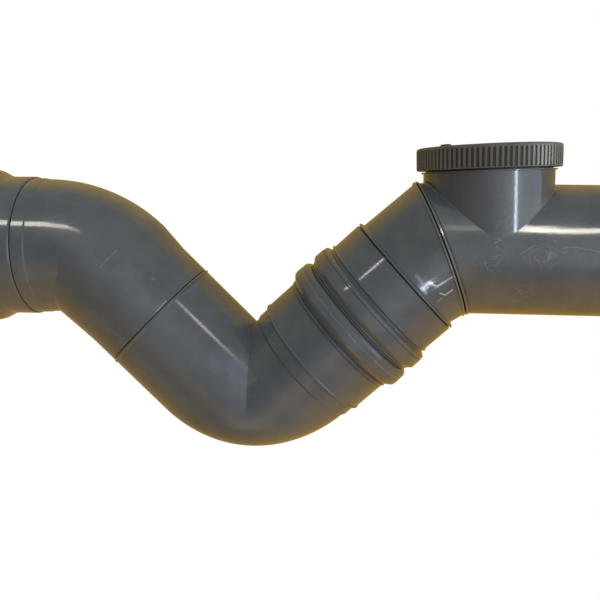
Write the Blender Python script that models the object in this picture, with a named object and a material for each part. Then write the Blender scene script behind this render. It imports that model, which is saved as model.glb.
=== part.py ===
"""Inline running trap for 110 mm drainage pipe, in grey PVC.

The run lies along X with the outlet at -X, Z is up, and all the pipe axes lie in the plane Y = 0.
The origin is where the access neck's axis meets the inlet's axis. Lengths are in metres.
"""
import math

import bmesh
import bpy
from mathutils import Matrix, Vector

# Pipe walls
PIPE_RADIUS = 0.0550
LEG_RADIUS = 0.0562
BORE_RADIUS = 0.0520
PUSH_BORE = 0.0553
GAP = 0.0003
SEGMENTS = 28

# Route of the pipe's axis, from the inlet back to the outlet
RISE_ANGLE = math.radians(43.0)
FALL_ANGLE = math.radians(44.5)
OUTLET_ANGLE = math.radians(0.5)
RISE_FROM_NECK = 0.0429
RISE_LENGTH = 0.2140
FALL_LENGTH = 0.2041

# The mitre plane between tee and elbow: where it crosses the run's axis, and its lean from upright
MITRE_FROM_NECK = 0.0401
MITRE_LEAN = math.radians(22.35)
MITRE_BEAD = 0.0016

# Places along the rising leg, measured down from its own corner on the run's axis
UPPER_SEAM = 0.0360
UPPER_BEAD = 0.0654
UPPER_MOUTH = 0.0869
STOP_RIB = 0.08835
LOWER_MOUTH = 0.0898
LOWER_BEAD = 0.1118
LOWER_SEAM = 0.1432
SHOULDER = 0.1557
NIPPLE_REACH = 0.0420

# Places along leg 1 and the outlet, measured from the outlet bend's corner
LEG_SEAM = 0.0861
OUTLET_SEAM = 0.0464
OUTLET_SHOULDER = 0.0350
OUTLET_MOUTH = 0.1030

# Sockets, beads and weld tongues
SOCKET_RADIUS = 0.0589
OUTLET_SOCKET_RADIUS = 0.0604
BEND_END_RADIUS = 0.0576
BEAD_HEIGHT = 0.0010
BEAD_WIDTH = 0.0028
TONGUE_RADIUS = 0.0541
TONGUE_LENGTH = 0.0050
STOP_THICK = 0.0032
MOUTH_CHAMFER = 0.0019

# Bends: fillet radius on the outside of each turn, and where its inner crease ends
TRAP_SWEEP = 0.1200
OUTLET_SWEEP = 0.1430
CREASE_END = 0.22

# Access tee, neck and cap, measured along the neck's axis
INLET_LENGTH = 0.1250
NECK_LEAN = math.radians(2.5)
NECK_RADIUS = 0.0532
NECK_BORE = 0.0500
NECK_FILLET = 0.0030
BORE_FILLET = 0.0005
COLLAR_RADIUS = 0.0548
COLLAR_TOP = 0.0660
COLLAR_THICK = 0.0012
SPOUT_RADIUS = 0.0515
SPOUT_BORE = 0.0484
SPOUT_TOP = 0.0800
CAP_BOTTOM = 0.0671
CAP_TOP = 0.0856
CAP_RADIUS = 0.0588
CAP_SHOULDER = 0.0022
CAP_RIBS = 90
CAP_COLUMNS = 45
RIB_DEPTH = 0.0009
FLUTE_BOTTOM = 0.0686
FLUTE_TOP = 0.0832
SKIRT_BORE = 0.0533
CAP_SEAL_THICK = 0.0022
LUG_SIZE = (0.0090, 0.0050, 0.0034)
LUG_PLACE = (-0.0385, -0.0270)

# Where the tee's skin is divided: columns over the neck's sides, and rows from neck to edge
SIDE_COLUMNS = 8
RUN_ROWS = 3


def clear_scene():
    for old in list(bpy.data.objects):
        bpy.data.objects.remove(old, do_unlink=True)


def make_material(name, colour, roughness):
    material = bpy.data.materials.new(name)
    material.use_nodes = True
    shader = material.node_tree.nodes["Principled BSDF"]
    shader.inputs["Base Color"].default_value = (*colour, 1.0)
    shader.inputs["Roughness"].default_value = roughness
    shader.inputs["Metallic"].default_value = 0.0
    return material


def add_object(name, bm, material, parent=None):
    """Finish a bmesh as one named, smooth-shaded object under its parent empty."""
    bmesh.ops.recalc_face_normals(bm, faces=bm.faces)
    mesh = bpy.data.meshes.new(name)
    bm.to_mesh(mesh)
    bm.free()
    mesh.shade_smooth()
    mesh.set_sharp_from_angle(angle=math.radians(32))
    mesh.materials.append(material)
    piece = bpy.data.objects.new(name, mesh)
    bpy.context.scene.collection.objects.link(piece)
    piece.parent = parent
    return piece


def add_axis(name, corner, along, side):
    """An empty whose local Z runs along the pipe and whose local X is this side of it."""
    across = along.cross(side)
    empty = bpy.data.objects.new(name, None)
    bpy.context.scene.collection.objects.link(empty)
    turn = Matrix((side, across, along)).transposed().to_4x4()
    empty.matrix_world = Matrix.Translation(corner) @ turn
    return empty


def fill_between(bm, ring, following, closed=True):
    """Quads between two rings, or between two open lines of vertices."""
    count = len(ring)
    for i in range(count if closed else count - 1):
        j = (i + 1) % count
        bm.faces.new((ring[i], ring[j], following[j], following[i]))


def bridge_rings(bm, rings):
    """Quads between each ring and the next, and from the last ring back to the first."""
    for ring, following in zip(rings, rings[1:] + rings[:1]):
        fill_between(bm, ring, following)


def turned(name, outline, material, parent):
    """A closed outline turned about the parent's local Z.

    Each point is (along, radius). A ring in a slanting plane adds its centre's side and the slope.
    """
    bm = bmesh.new()
    rings = []
    for along, radius, *slant in outline:
        centre, slope = slant or (0.0, 0.0)
        ring = []
        for i in range(SEGMENTS):
            angle = math.tau * i / SEGMENTS
            side = centre + radius * math.cos(angle)
            ring.append(bm.verts.new((side, radius * math.sin(angle), along + side * slope)))
        rings.append(ring)
    bridge_rings(bm, rings)
    return add_object(name, bm, material, parent)


def bead(centre, radius, height=BEAD_HEIGHT, width=BEAD_WIDTH):
    """Outline points of a low rib standing on a tube of this radius."""
    return [
        (centre - width * 0.50, radius),
        (centre - width * 0.22, radius + height),
        (centre + width * 0.22, radius + height),
        (centre + width * 0.50, radius),
    ]


class BentSkin:
    """One skin of a moulded bend, sharply mitred on the inner side and swept round outside.

    A line along the wall at some offset towards the inside of the bend follows two straight
    stretches joined by a fillet. The fillet's radius grows from nothing at the crease to the full
    sweep on the outside of the bend.
    """

    def __init__(self, corner, first, second, sweep, steps):
        self.corner = corner
        self.arms = (first, second)
        self.inside = (first + second).normalized()
        self.sides = tuple((self.inside - arm * self.inside.dot(arm)).normalized() for arm in self.arms)
        self.half_turn = (math.pi - first.angle(second)) / 2
        self.sweep = sweep
        self.steps = steps

    def on_arm(self, arm, distance, radius, angle):
        across = Vector((0.0, radius * math.sin(angle), 0.0))
        side = self.sides[arm] * radius * math.cos(angle)
        return self.corner + self.arms[arm] * distance + side + across

    def round_corner(self, radius, angle):
        """Points round the turn on the line at this angle about the pipe."""
        share = math.cos(angle)
        across = Vector((0.0, radius * math.sin(angle), 0.0))
        spread = (self.sides[0] + self.sides[1]) / (1.0 + self.sides[0].dot(self.sides[1]))
        meeting = self.corner + spread * radius * share + across
        reach = max(0.0, (CREASE_END - share) / (CREASE_END + 1.0))
        fillet = self.sweep * reach ** 1.15
        centre = meeting + self.inside * fillet / math.cos(self.half_turn)
        spokes = [(-self.sides[0]).slerp(-self.sides[1], k / self.steps) for k in range(self.steps + 1)]
        return [centre + spoke * fillet for spoke in spokes]

    def rings(self, bm, before, radius, after):
        """Rings from the end of the first arm, round the corner, to the end of the second."""
        angles = [math.tau * i / SEGMENTS for i in range(SEGMENTS)]
        columns = [self.round_corner(radius, angle) for angle in angles]
        made = [[bm.verts.new(self.on_arm(0, *place, a)) for a in angles] for place in before]
        made += [[bm.verts.new(column[k]) for column in columns] for k in range(self.steps + 1)]
        made += [[bm.verts.new(self.on_arm(1, *place, a)) for a in angles] for place in after]
        return made


def bent_tube(name, corner, arms, sweep, steps, outer, inner, material):
    """A moulded bend. Outer and inner are (before, radius, after), with (distance, radius) places."""
    bm = bmesh.new()
    wall = outer[1] - inner[1]
    outer_rings = BentSkin(corner, *arms, sweep, steps).rings(bm, *outer)
    inner_rings = BentSkin(corner, *arms, sweep - wall, steps - 3).rings(bm, *inner)
    bridge_rings(bm, outer_rings + inner_rings[::-1])
    bmesh.ops.remove_doubles(bm, verts=bm.verts, dist=2e-5)
    return add_object(name, bm, material)


def outlet_socket(material, axis):
    """Ring-seal socket at the outlet, welded to the bend with its chamfered end."""
    seam = OUTLET_SEAM + GAP / 2
    radius = OUTLET_SOCKET_RADIUS
    outline = [
        (seam, radius - 0.0014),
        (seam + 0.0032, radius),
        (0.0670, radius),
        (0.0735, radius + 0.0026),
        (0.0800, radius + 0.0056),
        (0.0840, radius + 0.0066),
        (0.0960, radius + 0.0066),
        (0.0995, radius + 0.0052),
        (0.1008, radius + 0.0015),
        (OUTLET_MOUTH, radius + 0.0005),
        (OUTLET_MOUTH, PUSH_BORE + MOUTH_CHAMFER),
        (OUTLET_MOUTH - 0.0030, PUSH_BORE),
        (0.0955, PUSH_BORE),
        (0.0955, 0.0630),
        (0.0820, 0.0630),
        (0.0820, PUSH_BORE),
        (seam + STOP_THICK, PUSH_BORE),
        (seam + STOP_THICK, BORE_RADIUS),
        (seam - TONGUE_LENGTH, BORE_RADIUS),
        (seam - TONGUE_LENGTH, TONGUE_RADIUS),
        (seam, TONGUE_RADIUS),
    ]
    return turned("outlet_socket", outline, material, axis)


def outlet_bend(material, corner, arms):
    """45 degree bend with a thick welding end at the outlet and leg 1 on the other arm."""
    seam = OUTLET_SEAM - GAP / 2
    rebate = OUTLET_SEAM - TONGUE_LENGTH - GAP / 2
    leg_end = LEG_SEAM - GAP / 2
    outer = (
        [(seam, 0.0590), (OUTLET_SHOULDER + 0.0015, 0.0590), (OUTLET_SHOULDER - 0.0015, 0.0570)],
        0.0566,
        [(0.0500, LEG_RADIUS), (leg_end, LEG_RADIUS), (leg_end, TONGUE_RADIUS),
         (leg_end + TONGUE_LENGTH, TONGUE_RADIUS)],
    )
    inner = (
        [(seam, TONGUE_RADIUS + GAP), (rebate, TONGUE_RADIUS + GAP), (rebate, BORE_RADIUS)],
        BORE_RADIUS,
        [(leg_end + TONGUE_LENGTH, BORE_RADIUS)],
    )
    return bent_tube("outlet_bend", corner, arms, OUTLET_SWEEP, 7, outer, inner, material)


def trap_bend(material, corner, arms):
    """The U bottom: leg 2 up to the welded seam with leg 1, and the sharply creased turn."""
    leg_end = FALL_LENGTH - LEG_SEAM - GAP / 2
    leg_rebate = leg_end - TONGUE_LENGTH - GAP
    shoulder = RISE_LENGTH - SHOULDER
    rise_end = RISE_LENGTH - LOWER_SEAM - GAP / 2
    rise_rebate = rise_end - TONGUE_LENGTH - GAP
    ridge = leg_end - BEAD_WIDTH * 0.40
    outer = (
        [(leg_end, LEG_RADIUS + 0.0006), (ridge, LEG_RADIUS + BEAD_HEIGHT),
         (ridge - BEAD_WIDTH * 0.6, LEG_RADIUS)],
        LEG_RADIUS,
        [(shoulder - 0.0010, LEG_RADIUS), (shoulder + 0.0006, BEND_END_RADIUS),
         (rise_end, BEND_END_RADIUS)],
    )
    inner = (
        [(leg_end, TONGUE_RADIUS + GAP), (leg_rebate, TONGUE_RADIUS + GAP), (leg_rebate, BORE_RADIUS)],
        BORE_RADIUS,
        [(rise_rebate, BORE_RADIUS), (rise_rebate, TONGUE_RADIUS + GAP),
         (rise_end, TONGUE_RADIUS + GAP)],
    )
    return bent_tube("trap_bend", corner, arms, TRAP_SWEEP, 10, outer, inner, material)


def socket_bore(mouth, stop, groove_start, groove_end, seam, way):
    """Inside of a ring-seal socket from its mouth to its weld tongue; way is +1 or -1 down the leg."""
    return [
        (mouth, PUSH_BORE + MOUTH_CHAMFER),
        (mouth + way * 0.0022, PUSH_BORE),
        (groove_start, PUSH_BORE),
        (groove_start, 0.0606),
        (groove_end, 0.0606),
        (groove_end, PUSH_BORE),
        (stop, PUSH_BORE),
        (stop, BORE_RADIUS),
        (seam + way * TONGUE_LENGTH, BORE_RADIUS),
        (seam + way * TONGUE_LENGTH, TONGUE_RADIUS),
        (seam, TONGUE_RADIUS),
    ]


def lower_socket(material, axis):
    """Ring-seal socket on top of the trap bend, with two ribs and a crowned seal bulge."""
    seam = LOWER_SEAM - GAP / 2
    outline = [
        (seam, SOCKET_RADIUS + BEAD_HEIGHT * 0.6),
        (seam - BEAD_WIDTH * 0.4, SOCKET_RADIUS + BEAD_HEIGHT),
        (seam - BEAD_WIDTH, SOCKET_RADIUS),
    ]
    outline += bead(LOWER_BEAD, SOCKET_RADIUS)[::-1]
    outline += [
        (0.1080, SOCKET_RADIUS),
        (0.1078, 0.0632),
        (0.1068, 0.0640),
        (0.1005, 0.0647),
        (0.0922, 0.0638),
        (0.0910, 0.0632),
        (LOWER_MOUTH, 0.0604),
    ]
    outline += socket_bore(LOWER_MOUTH, seam - STOP_THICK, 0.0934, 0.1048, seam, 1)
    return turned("lower_socket", outline, material, axis)


def upper_socket(material, axis):
    """Ring-seal socket of the upper part, with its conical seal bulge and two ribs."""
    seam = UPPER_SEAM + GAP / 2
    outline = [(seam, SOCKET_RADIUS)]
    outline += bead(UPPER_BEAD, SOCKET_RADIUS)
    outline += [
        (0.0684, SOCKET_RADIUS + 0.0002),
        (0.0704, 0.0630),
        (0.0758, 0.0641),
        (0.0838, 0.0635),
        (0.0866, 0.0612),
        (UPPER_MOUTH, 0.0604),
    ]
    outline += socket_bore(UPPER_MOUTH, seam + STOP_THICK, 0.0832, 0.0724, seam, -1)
    return turned("upper_socket", outline, material, axis)


def middle_nipple(material, axis):
    """Double spigot that joins the two sockets, with a stop rib between their mouths."""
    low = STOP_RIB - NIPPLE_REACH
    high = STOP_RIB + NIPPLE_REACH
    rib = 0.0013 / 2
    outline = [
        (low, PIPE_RADIUS - 0.0015),
        (low + 0.0050, PIPE_RADIUS),
        (STOP_RIB - rib, PIPE_RADIUS),
        (STOP_RIB - rib, 0.0602),
        (STOP_RIB + rib, 0.0602),
        (STOP_RIB + rib, PIPE_RADIUS),
        (high - 0.0050, PIPE_RADIUS),
        (high, PIPE_RADIUS - 0.0015),
        (high, BORE_RADIUS),
        (low, BORE_RADIUS),
    ]
    return turned("middle_nipple", outline, material, axis)


def seal_ring(name, start, end, groove_radius, material, axis):
    """Rubber lip ring: a heel in the groove and a lip leaning in to the spigot, from start to end."""
    way = 1 if end > start else -1
    outer = groove_radius - GAP
    lip = PIPE_RADIUS + GAP
    outline = [
        (start + way * GAP, outer),
        (end - way * GAP, outer),
        (end - way * 0.0024, lip),
        (start + way * 0.0050, lip + 0.0026),
        (start + way * GAP, lip + 0.0020),
    ]
    return turned(name, outline, material, axis)


def upper_elbow(material, axis):
    """Short mitred piece between the upper socket and the tee, with a weld ridge at each end."""
    spread = RISE_FROM_NECK - MITRE_FROM_NECK
    turn = RISE_ANGLE - MITRE_LEAN
    slant = (spread * math.sin(RISE_ANGLE), math.tan(turn))
    plane = -spread * math.cos(MITRE_LEAN) / math.cos(turn)
    seam = UPPER_SEAM - GAP / 2
    rebate = seam - TONGUE_LENGTH - GAP
    radius = PIPE_RADIUS + 0.0006
    outline = [
        (seam, 0.0574),
        (seam - 0.0010, SOCKET_RADIUS + 0.0004),
        (seam - 0.0022, SOCKET_RADIUS - 0.0002),
        (seam - 0.0036, radius),
        (plane + MITRE_BEAD + GAP, radius, *slant),
        (plane + MITRE_BEAD * 0.6, radius + BEAD_HEIGHT, *slant),
        (plane + GAP / 2, radius + BEAD_HEIGHT * 0.5, *slant),
        (plane + GAP / 2, BORE_RADIUS, *slant),
        (rebate, BORE_RADIUS),
        (rebate, TONGUE_RADIUS + GAP),
        (seam, TONGUE_RADIUS + GAP),
    ]
    return turned("upper_elbow", outline, material, axis)


class TeeSkin:
    """One skin of the access tee: a mitred run with a leaning neck that grows out of its top.

    Angles about the neck start at the inlet side and go round by -Y. A turn about the run starts
    at its top and goes round the same way.
    """

    def __init__(self, bm, run_radius, neck_radius, fillet, end_inset, mitre_inset):
        self.bm = bm
        self.run_radius = run_radius
        self.neck_radius = neck_radius
        self.fillet = fillet
        self.end_inset = end_inset
        self.mitre_inset = mitre_inset
        self.up = Vector((-math.sin(NECK_LEAN), 0.0, math.cos(NECK_LEAN)))
        self.right = Vector((math.cos(NECK_LEAN), 0.0, math.sin(NECK_LEAN)))
        self.half = SEGMENTS // 2

    def outward(self, angle):
        return self.right * math.cos(angle) - Vector((0.0, math.sin(angle), 0.0))

    def on_run(self, x, turn, radius=None):
        radius = radius or self.run_radius
        return Vector((x, -radius * math.sin(turn), radius * math.cos(turn)))

    def mitre_x(self, turn, inset, radius):
        return inset - MITRE_FROM_NECK - radius * math.cos(turn) * math.tan(MITRE_LEAN)

    def column_x(self, column, turn):
        """X of a line across the run: columns go from the inlet's end to the mitre."""
        middle = SIDE_COLUMNS / 2
        if column <= middle:
            return (INLET_LENGTH - self.end_inset) * (1 - column / middle)
        return self.mitre_x(turn, self.mitre_inset, self.run_radius) * (column / middle - 1)

    def edge_places(self):
        """(column, turn) once round the edge of the run's upper half, from the inlet's top."""
        half = self.half
        quarter = math.pi / 2
        inlet = [(0, math.pi * i / half - quarter) for i in range(half)]
        near = [(column, quarter) for column in range(SIDE_COLUMNS)]
        mitre = [(SIDE_COLUMNS, quarter - math.pi * i / half) for i in range(half)]
        far = [(SIDE_COLUMNS - column, -quarter) for column in range(SIDE_COLUMNS)]
        return inlet[half // 2 :] + near + mitre + far + inlet[: half // 2]

    def foot(self, angle):
        """Height where the neck meets the run at this angle, and how steeply the run falls there."""
        lift = self.outward(angle).z
        depth = math.sqrt(self.run_radius**2 - (self.neck_radius * math.sin(angle)) ** 2)
        height = (depth - self.neck_radius * lift) / math.cos(NECK_LEAN)
        fall = (self.neck_radius * math.sin(angle) ** 2 / depth + lift) / math.cos(NECK_LEAN)
        return height, math.atan(fall)

    def blend(self, angle, steps):
        """Points of the fillet at the neck's foot, from its toe on the run up to the neck."""
        height, fall = self.foot(angle)
        bend = math.pi / 2 - fall
        centre = height + self.fillet * math.tan(bend / 2)
        points = []
        for k in range(steps + 1):
            swing = bend * (1 - k / steps)
            spread = self.neck_radius + self.fillet * (1 - math.cos(swing))
            rise = centre - self.fillet * math.sin(swing)
            points.append(self.outward(angle) * spread + self.up * rise)
        turn = math.atan2(-points[0].y, points[0].z)
        points[0] = self.on_run(points[0].x, turn)
        return points, turn

    def upper_rings(self, steps, neck_outline):
        """Rings from the edge of the run's upper half, over the fillet, to the top of the neck."""
        places = self.edge_places()
        count = len(places)
        columns = []
        for i, (column, turn) in enumerate(places):
            angle = math.tau * i / count
            fillet, toe_turn = self.blend(angle, steps)
            edge_x = self.column_x(column, turn)
            line = []
            for row in range(RUN_ROWS):
                share = row / RUN_ROWS
                x = edge_x + (fillet[0].x - edge_x) * share
                line.append(self.on_run(x, turn + (toe_turn - turn) * share))
            line += fillet
            line += [self.outward(angle) * radius + self.up * height for height, radius in neck_outline]
            columns.append([self.bm.verts.new(point) for point in line])
        rings = [list(ring) for ring in zip(*columns)]
        for ring, following in zip(rings, rings[1:]):
            fill_between(self.bm, ring, following)
        return rings

    def lower_half(self, edge):
        """Add the run's lower half under this edge ring. Returns its end rings, inlet and mitre."""
        half = self.half
        corner = half // 2
        mitre_near = corner + SIDE_COLUMNS
        mitre_top = mitre_near + corner
        mitre_far = mitre_near + half
        inlet_far = mitre_far + SIDE_COLUMNS
        lines = [edge[corner : mitre_near + 1]]
        for step in range(1, half):
            turn = math.pi / 2 + math.pi * step / half
            places = [self.on_run(self.column_x(c, turn), turn) for c in range(SIDE_COLUMNS + 1)]
            lines.append([self.bm.verts.new(place) for place in places])
        lines.append(edge[mitre_far : inlet_far + 1][::-1])
        for line, following in zip(lines, lines[1:]):
            fill_between(self.bm, line, following, closed=False)
        inlet = edge[: corner + 1] + [line[0] for line in lines[1:]] + edge[inlet_far + 1 :]
        mitre = edge[mitre_near : mitre_top + 1][::-1] + [line[-1] for line in lines[1:-1]]
        mitre += edge[mitre_top + 1 : mitre_far + 1][::-1]
        return inlet, mitre

    def end_ring(self, radius, x=None, inset=0.0):
        """A ring across the run at this x, or in the mitre plane when no x is given."""
        ring = []
        for i in range(SEGMENTS):
            turn = math.tau * i / SEGMENTS
            place = self.mitre_x(turn, inset, radius) if x is None else x
            ring.append(self.bm.verts.new(self.on_run(place, turn, radius)))
        return ring


def access_tee(material):
    """The tee: mitred run to the inlet spigot, and the leaning neck with its collar and spout."""
    bm = bmesh.new()
    outer = TeeSkin(bm, PIPE_RADIUS, NECK_RADIUS, NECK_FILLET, 0.0050, MITRE_BEAD)
    inner = TeeSkin(bm, BORE_RADIUS, NECK_BORE, BORE_FILLET, 0.0, GAP / 2)
    collar_under = COLLAR_TOP - COLLAR_THICK
    outer_neck = [
        (collar_under - 0.0001, NECK_RADIUS),
        (collar_under, COLLAR_RADIUS),
        (COLLAR_TOP, COLLAR_RADIUS),
        (COLLAR_TOP + 0.0001, SPOUT_RADIUS),
        (SPOUT_TOP - 0.0012, SPOUT_RADIUS),
        (SPOUT_TOP, SPOUT_RADIUS - 0.0008),
    ]
    inner_neck = [(0.0580, NECK_BORE), (0.0620, SPOUT_BORE), (SPOUT_TOP, SPOUT_BORE)]
    outer_rings = outer.upper_rings(3, outer_neck)
    inner_rings = inner.upper_rings(1, inner_neck)
    fill_between(bm, outer_rings[-1], inner_rings[-1])
    outer_inlet, outer_mitre = outer.lower_half(outer_rings[0])
    inner_inlet, inner_mitre = inner.lower_half(inner_rings[0])
    spigot_end = outer.end_ring(PIPE_RADIUS - 0.0014, x=INLET_LENGTH)
    fill_between(bm, outer_inlet, spigot_end)
    fill_between(bm, spigot_end, inner_inlet)
    ridge = outer.end_ring(PIPE_RADIUS + BEAD_HEIGHT, inset=MITRE_BEAD * 0.6)
    edge = outer.end_ring(PIPE_RADIUS + BEAD_HEIGHT * 0.5, inset=GAP / 2)
    fill_between(bm, outer_mitre, ridge)
    fill_between(bm, ridge, edge)
    fill_between(bm, edge, inner_mitre)
    return add_object("access_tee", bm, material)


def plain_ring(bm, count, radius, height):
    angles = [math.tau * i / count for i in range(count)]
    return [bm.verts.new((radius * math.cos(a), radius * math.sin(a), height)) for a in angles]


def ribbed_ring(bm, height):
    """One ring of the cap's grip: each rib has a flat crest and a flat groove beside it."""
    pitch = math.tau / CAP_RIBS
    ring = []
    for rib in range(CAP_RIBS):
        for share, depth in ((0.0, 0.0), (0.46, 0.0), (0.60, RIB_DEPTH), (0.86, RIB_DEPTH)):
            angle = pitch * (rib + share)
            radius = CAP_RADIUS - depth
            ring.append(bm.verts.new((radius * math.cos(angle), radius * math.sin(angle), height)))
    return ring


def bridge_uneven(bm, ring, other):
    """Faces between two rings where one has a whole number of times the other's vertices."""
    if len(ring) == len(other):
        fill_between(bm, ring, other)
        return
    many, few = (ring, other) if len(ring) > len(other) else (other, ring)
    times = len(many) // len(few)
    for i, vertex in enumerate(few):
        following = few[(i + 1) % len(few)]
        stretch = [many[(i * times + k) % len(many)] for k in range(times + 1)]
        bm.faces.new((following, vertex, stretch[times // 2]))
        for k in range(times):
            tip = vertex if k < times // 2 else following
            bm.faces.new((tip, stretch[k], stretch[k + 1]))


def cap_lug(parent):
    """The small raised block on the cap's top, as a guide that the cap is joined with."""
    bm = bmesh.new()
    bmesh.ops.create_cube(bm, size=1.0)
    bmesh.ops.scale(bm, vec=LUG_SIZE, verts=bm.verts)
    bmesh.ops.bevel(bm, geom=bm.edges[:], offset=0.0007, segments=1, affect="EDGES")
    mesh = bpy.data.meshes.new("cap_lug")
    bm.to_mesh(mesh)
    bm.free()
    lug = bpy.data.objects.new("cap_lug", mesh)
    bpy.context.scene.collection.objects.link(lug)
    lug.parent = parent
    lug.location = (*LUG_PLACE, CAP_TOP)
    lug.rotation_euler = (0.0, 0.0, math.atan2(LUG_PLACE[1], LUG_PLACE[0]) + math.pi / 2)
    lug.hide_render = True
    lug.display_type = "WIRE"
    return lug


def access_cap(material, axis):
    """Screw cap: plain lower rim, ribbed grip, rounded shoulder and a hollow skirt."""
    bm = bmesh.new()
    inside_top = SPOUT_TOP + CAP_SEAL_THICK + 2 * GAP
    rings = [
        plain_ring(bm, CAP_COLUMNS, SKIRT_BORE, inside_top),
        plain_ring(bm, CAP_COLUMNS, SKIRT_BORE, CAP_BOTTOM + 0.0010),
        plain_ring(bm, CAP_COLUMNS, SKIRT_BORE + 0.0008, CAP_BOTTOM),
        plain_ring(bm, CAP_RIBS, CAP_RADIUS - 0.0010, CAP_BOTTOM),
        plain_ring(bm, CAP_RIBS, CAP_RADIUS - 0.0002, CAP_BOTTOM + 0.0006),
        plain_ring(bm, CAP_RIBS, CAP_RADIUS - 0.0002, FLUTE_BOTTOM),
        ribbed_ring(bm, FLUTE_BOTTOM + 0.0001),
        ribbed_ring(bm, FLUTE_TOP),
        plain_ring(bm, CAP_RIBS, CAP_RADIUS, FLUTE_TOP + 0.0001),
    ]
    foot = CAP_TOP - CAP_SHOULDER
    for swing in (0.0, 45.0, 90.0):
        angle = math.radians(swing)
        radius = CAP_RADIUS - CAP_SHOULDER * (1 - math.cos(angle))
        rings.append(plain_ring(bm, CAP_RIBS, radius, foot + CAP_SHOULDER * math.sin(angle)))
    for ring, following in zip(rings, rings[1:]):
        bridge_uneven(bm, ring, following)
    bm.faces.new(rings[0])
    bm.faces.new(rings[-1])
    cap = add_object("access_cap", bm, material, axis)
    join = cap.modifiers.new("lug", "BOOLEAN")
    join.operation = "UNION"
    join.solver = "EXACT"
    join.object = cap_lug(axis)
    return cap


def cap_seal(material, axis):
    """Flat rubber ring between the spout's rim and the inside of the cap."""
    low = SPOUT_TOP + GAP
    high = low + CAP_SEAL_THICK
    inner = SPOUT_BORE
    outer = SKIRT_BORE - GAP
    outline = [(low, outer), (high, outer), (high, inner), (low, inner)]
    return turned("cap_seal", outline, material, axis)


def build():
    clear_scene()
    plastic = make_material("grey_pvc", (0.105, 0.112, 0.122), 0.28)
    cap_plastic = make_material("cap_pvc", (0.125, 0.125, 0.122), 0.42)
    rubber = make_material("black_rubber", (0.012, 0.012, 0.013), 0.65)

    rise_corner = Vector((-RISE_FROM_NECK, 0.0, 0.0))
    down_rise = Vector((-math.cos(RISE_ANGLE), 0.0, -math.sin(RISE_ANGLE)))
    trap_corner = rise_corner + down_rise * RISE_LENGTH
    up_fall = Vector((-math.cos(FALL_ANGLE), 0.0, math.sin(FALL_ANGLE)))
    outlet_corner = trap_corner + up_fall * FALL_LENGTH
    to_outlet = Vector((-math.cos(OUTLET_ANGLE), 0.0, -math.sin(OUTLET_ANGLE)))
    neck_up = Vector((-math.sin(NECK_LEAN), 0.0, math.cos(NECK_LEAN)))
    neck_side = Vector((math.cos(NECK_LEAN), 0.0, math.sin(NECK_LEAN)))
    under_rise = Vector((math.sin(RISE_ANGLE), 0.0, -math.cos(RISE_ANGLE)))
    over_outlet = Vector((-math.sin(OUTLET_ANGLE), 0.0, math.cos(OUTLET_ANGLE)))

    outlet_axis = add_axis("outlet_axis", outlet_corner, to_outlet, over_outlet)
    rise_axis = add_axis("rise_axis", rise_corner, down_rise, under_rise)
    neck_axis = add_axis("neck_axis", Vector((0.0, 0.0, 0.0)), neck_up, neck_side)

    outlet_socket(plastic, outlet_axis)
    seal_ring("outlet_seal", 0.0820, 0.0955, 0.0630, rubber, outlet_axis)
    outlet_bend(plastic, outlet_corner, (to_outlet, -up_fall))
    trap_bend(plastic, trap_corner, (up_fall, -down_rise))
    lower_socket(plastic, rise_axis)
    seal_ring("lower_seal", 0.0934, 0.1048, 0.0606, rubber, rise_axis)
    middle_nipple(plastic, rise_axis)
    seal_ring("upper_seal", 0.0832, 0.0724, 0.0606, rubber, rise_axis)
    upper_socket(plastic, rise_axis)
    upper_elbow(plastic, rise_axis)
    access_tee(plastic)
    cap_seal(rubber, neck_axis)
    access_cap(cap_plastic, neck_axis)


build()
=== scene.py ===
"""Looks of the inline running trap: fine surfaces over its solids, materials, camera and light.

Lengths are in metres. X runs towards the inlet, Z is up, and the origin is where the access neck's
axis meets the run. All the pipe axes lie in the plane Y = 0.
"""
import math

import bmesh
import bpy
from mathutils import Matrix, Vector

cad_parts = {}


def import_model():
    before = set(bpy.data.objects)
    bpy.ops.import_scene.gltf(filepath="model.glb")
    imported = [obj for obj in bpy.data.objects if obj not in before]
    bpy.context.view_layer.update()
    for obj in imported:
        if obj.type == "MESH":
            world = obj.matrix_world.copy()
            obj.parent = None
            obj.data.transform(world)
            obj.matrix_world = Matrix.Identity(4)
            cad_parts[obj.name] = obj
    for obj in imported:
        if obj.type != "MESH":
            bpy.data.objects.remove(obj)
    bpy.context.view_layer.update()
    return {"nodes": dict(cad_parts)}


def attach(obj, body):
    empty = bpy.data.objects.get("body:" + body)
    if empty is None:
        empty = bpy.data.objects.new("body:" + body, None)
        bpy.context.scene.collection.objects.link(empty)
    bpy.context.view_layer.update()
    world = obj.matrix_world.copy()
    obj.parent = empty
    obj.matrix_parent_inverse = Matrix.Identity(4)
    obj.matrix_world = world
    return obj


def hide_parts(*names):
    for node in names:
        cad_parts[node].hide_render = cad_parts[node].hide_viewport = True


ORIGIN = (0.0, 0.0, 0.0)

# Route of the pipe's axis, from the inlet back to the outlet
RISE_ANGLE = math.radians(43.0)
FALL_ANGLE = math.radians(44.19)
OUTLET_ANGLE = math.radians(0.5)
NECK_LEAN = math.radians(2.5)
RISE_FROM_NECK = 0.0429
MITRE_FROM_NECK = 0.0401
MITRE_LEAN = math.radians(22.35)
RISE_LENGTH = 0.2140
FALL_LENGTH = 0.2052
INLET_LENGTH = 0.1250

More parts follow.
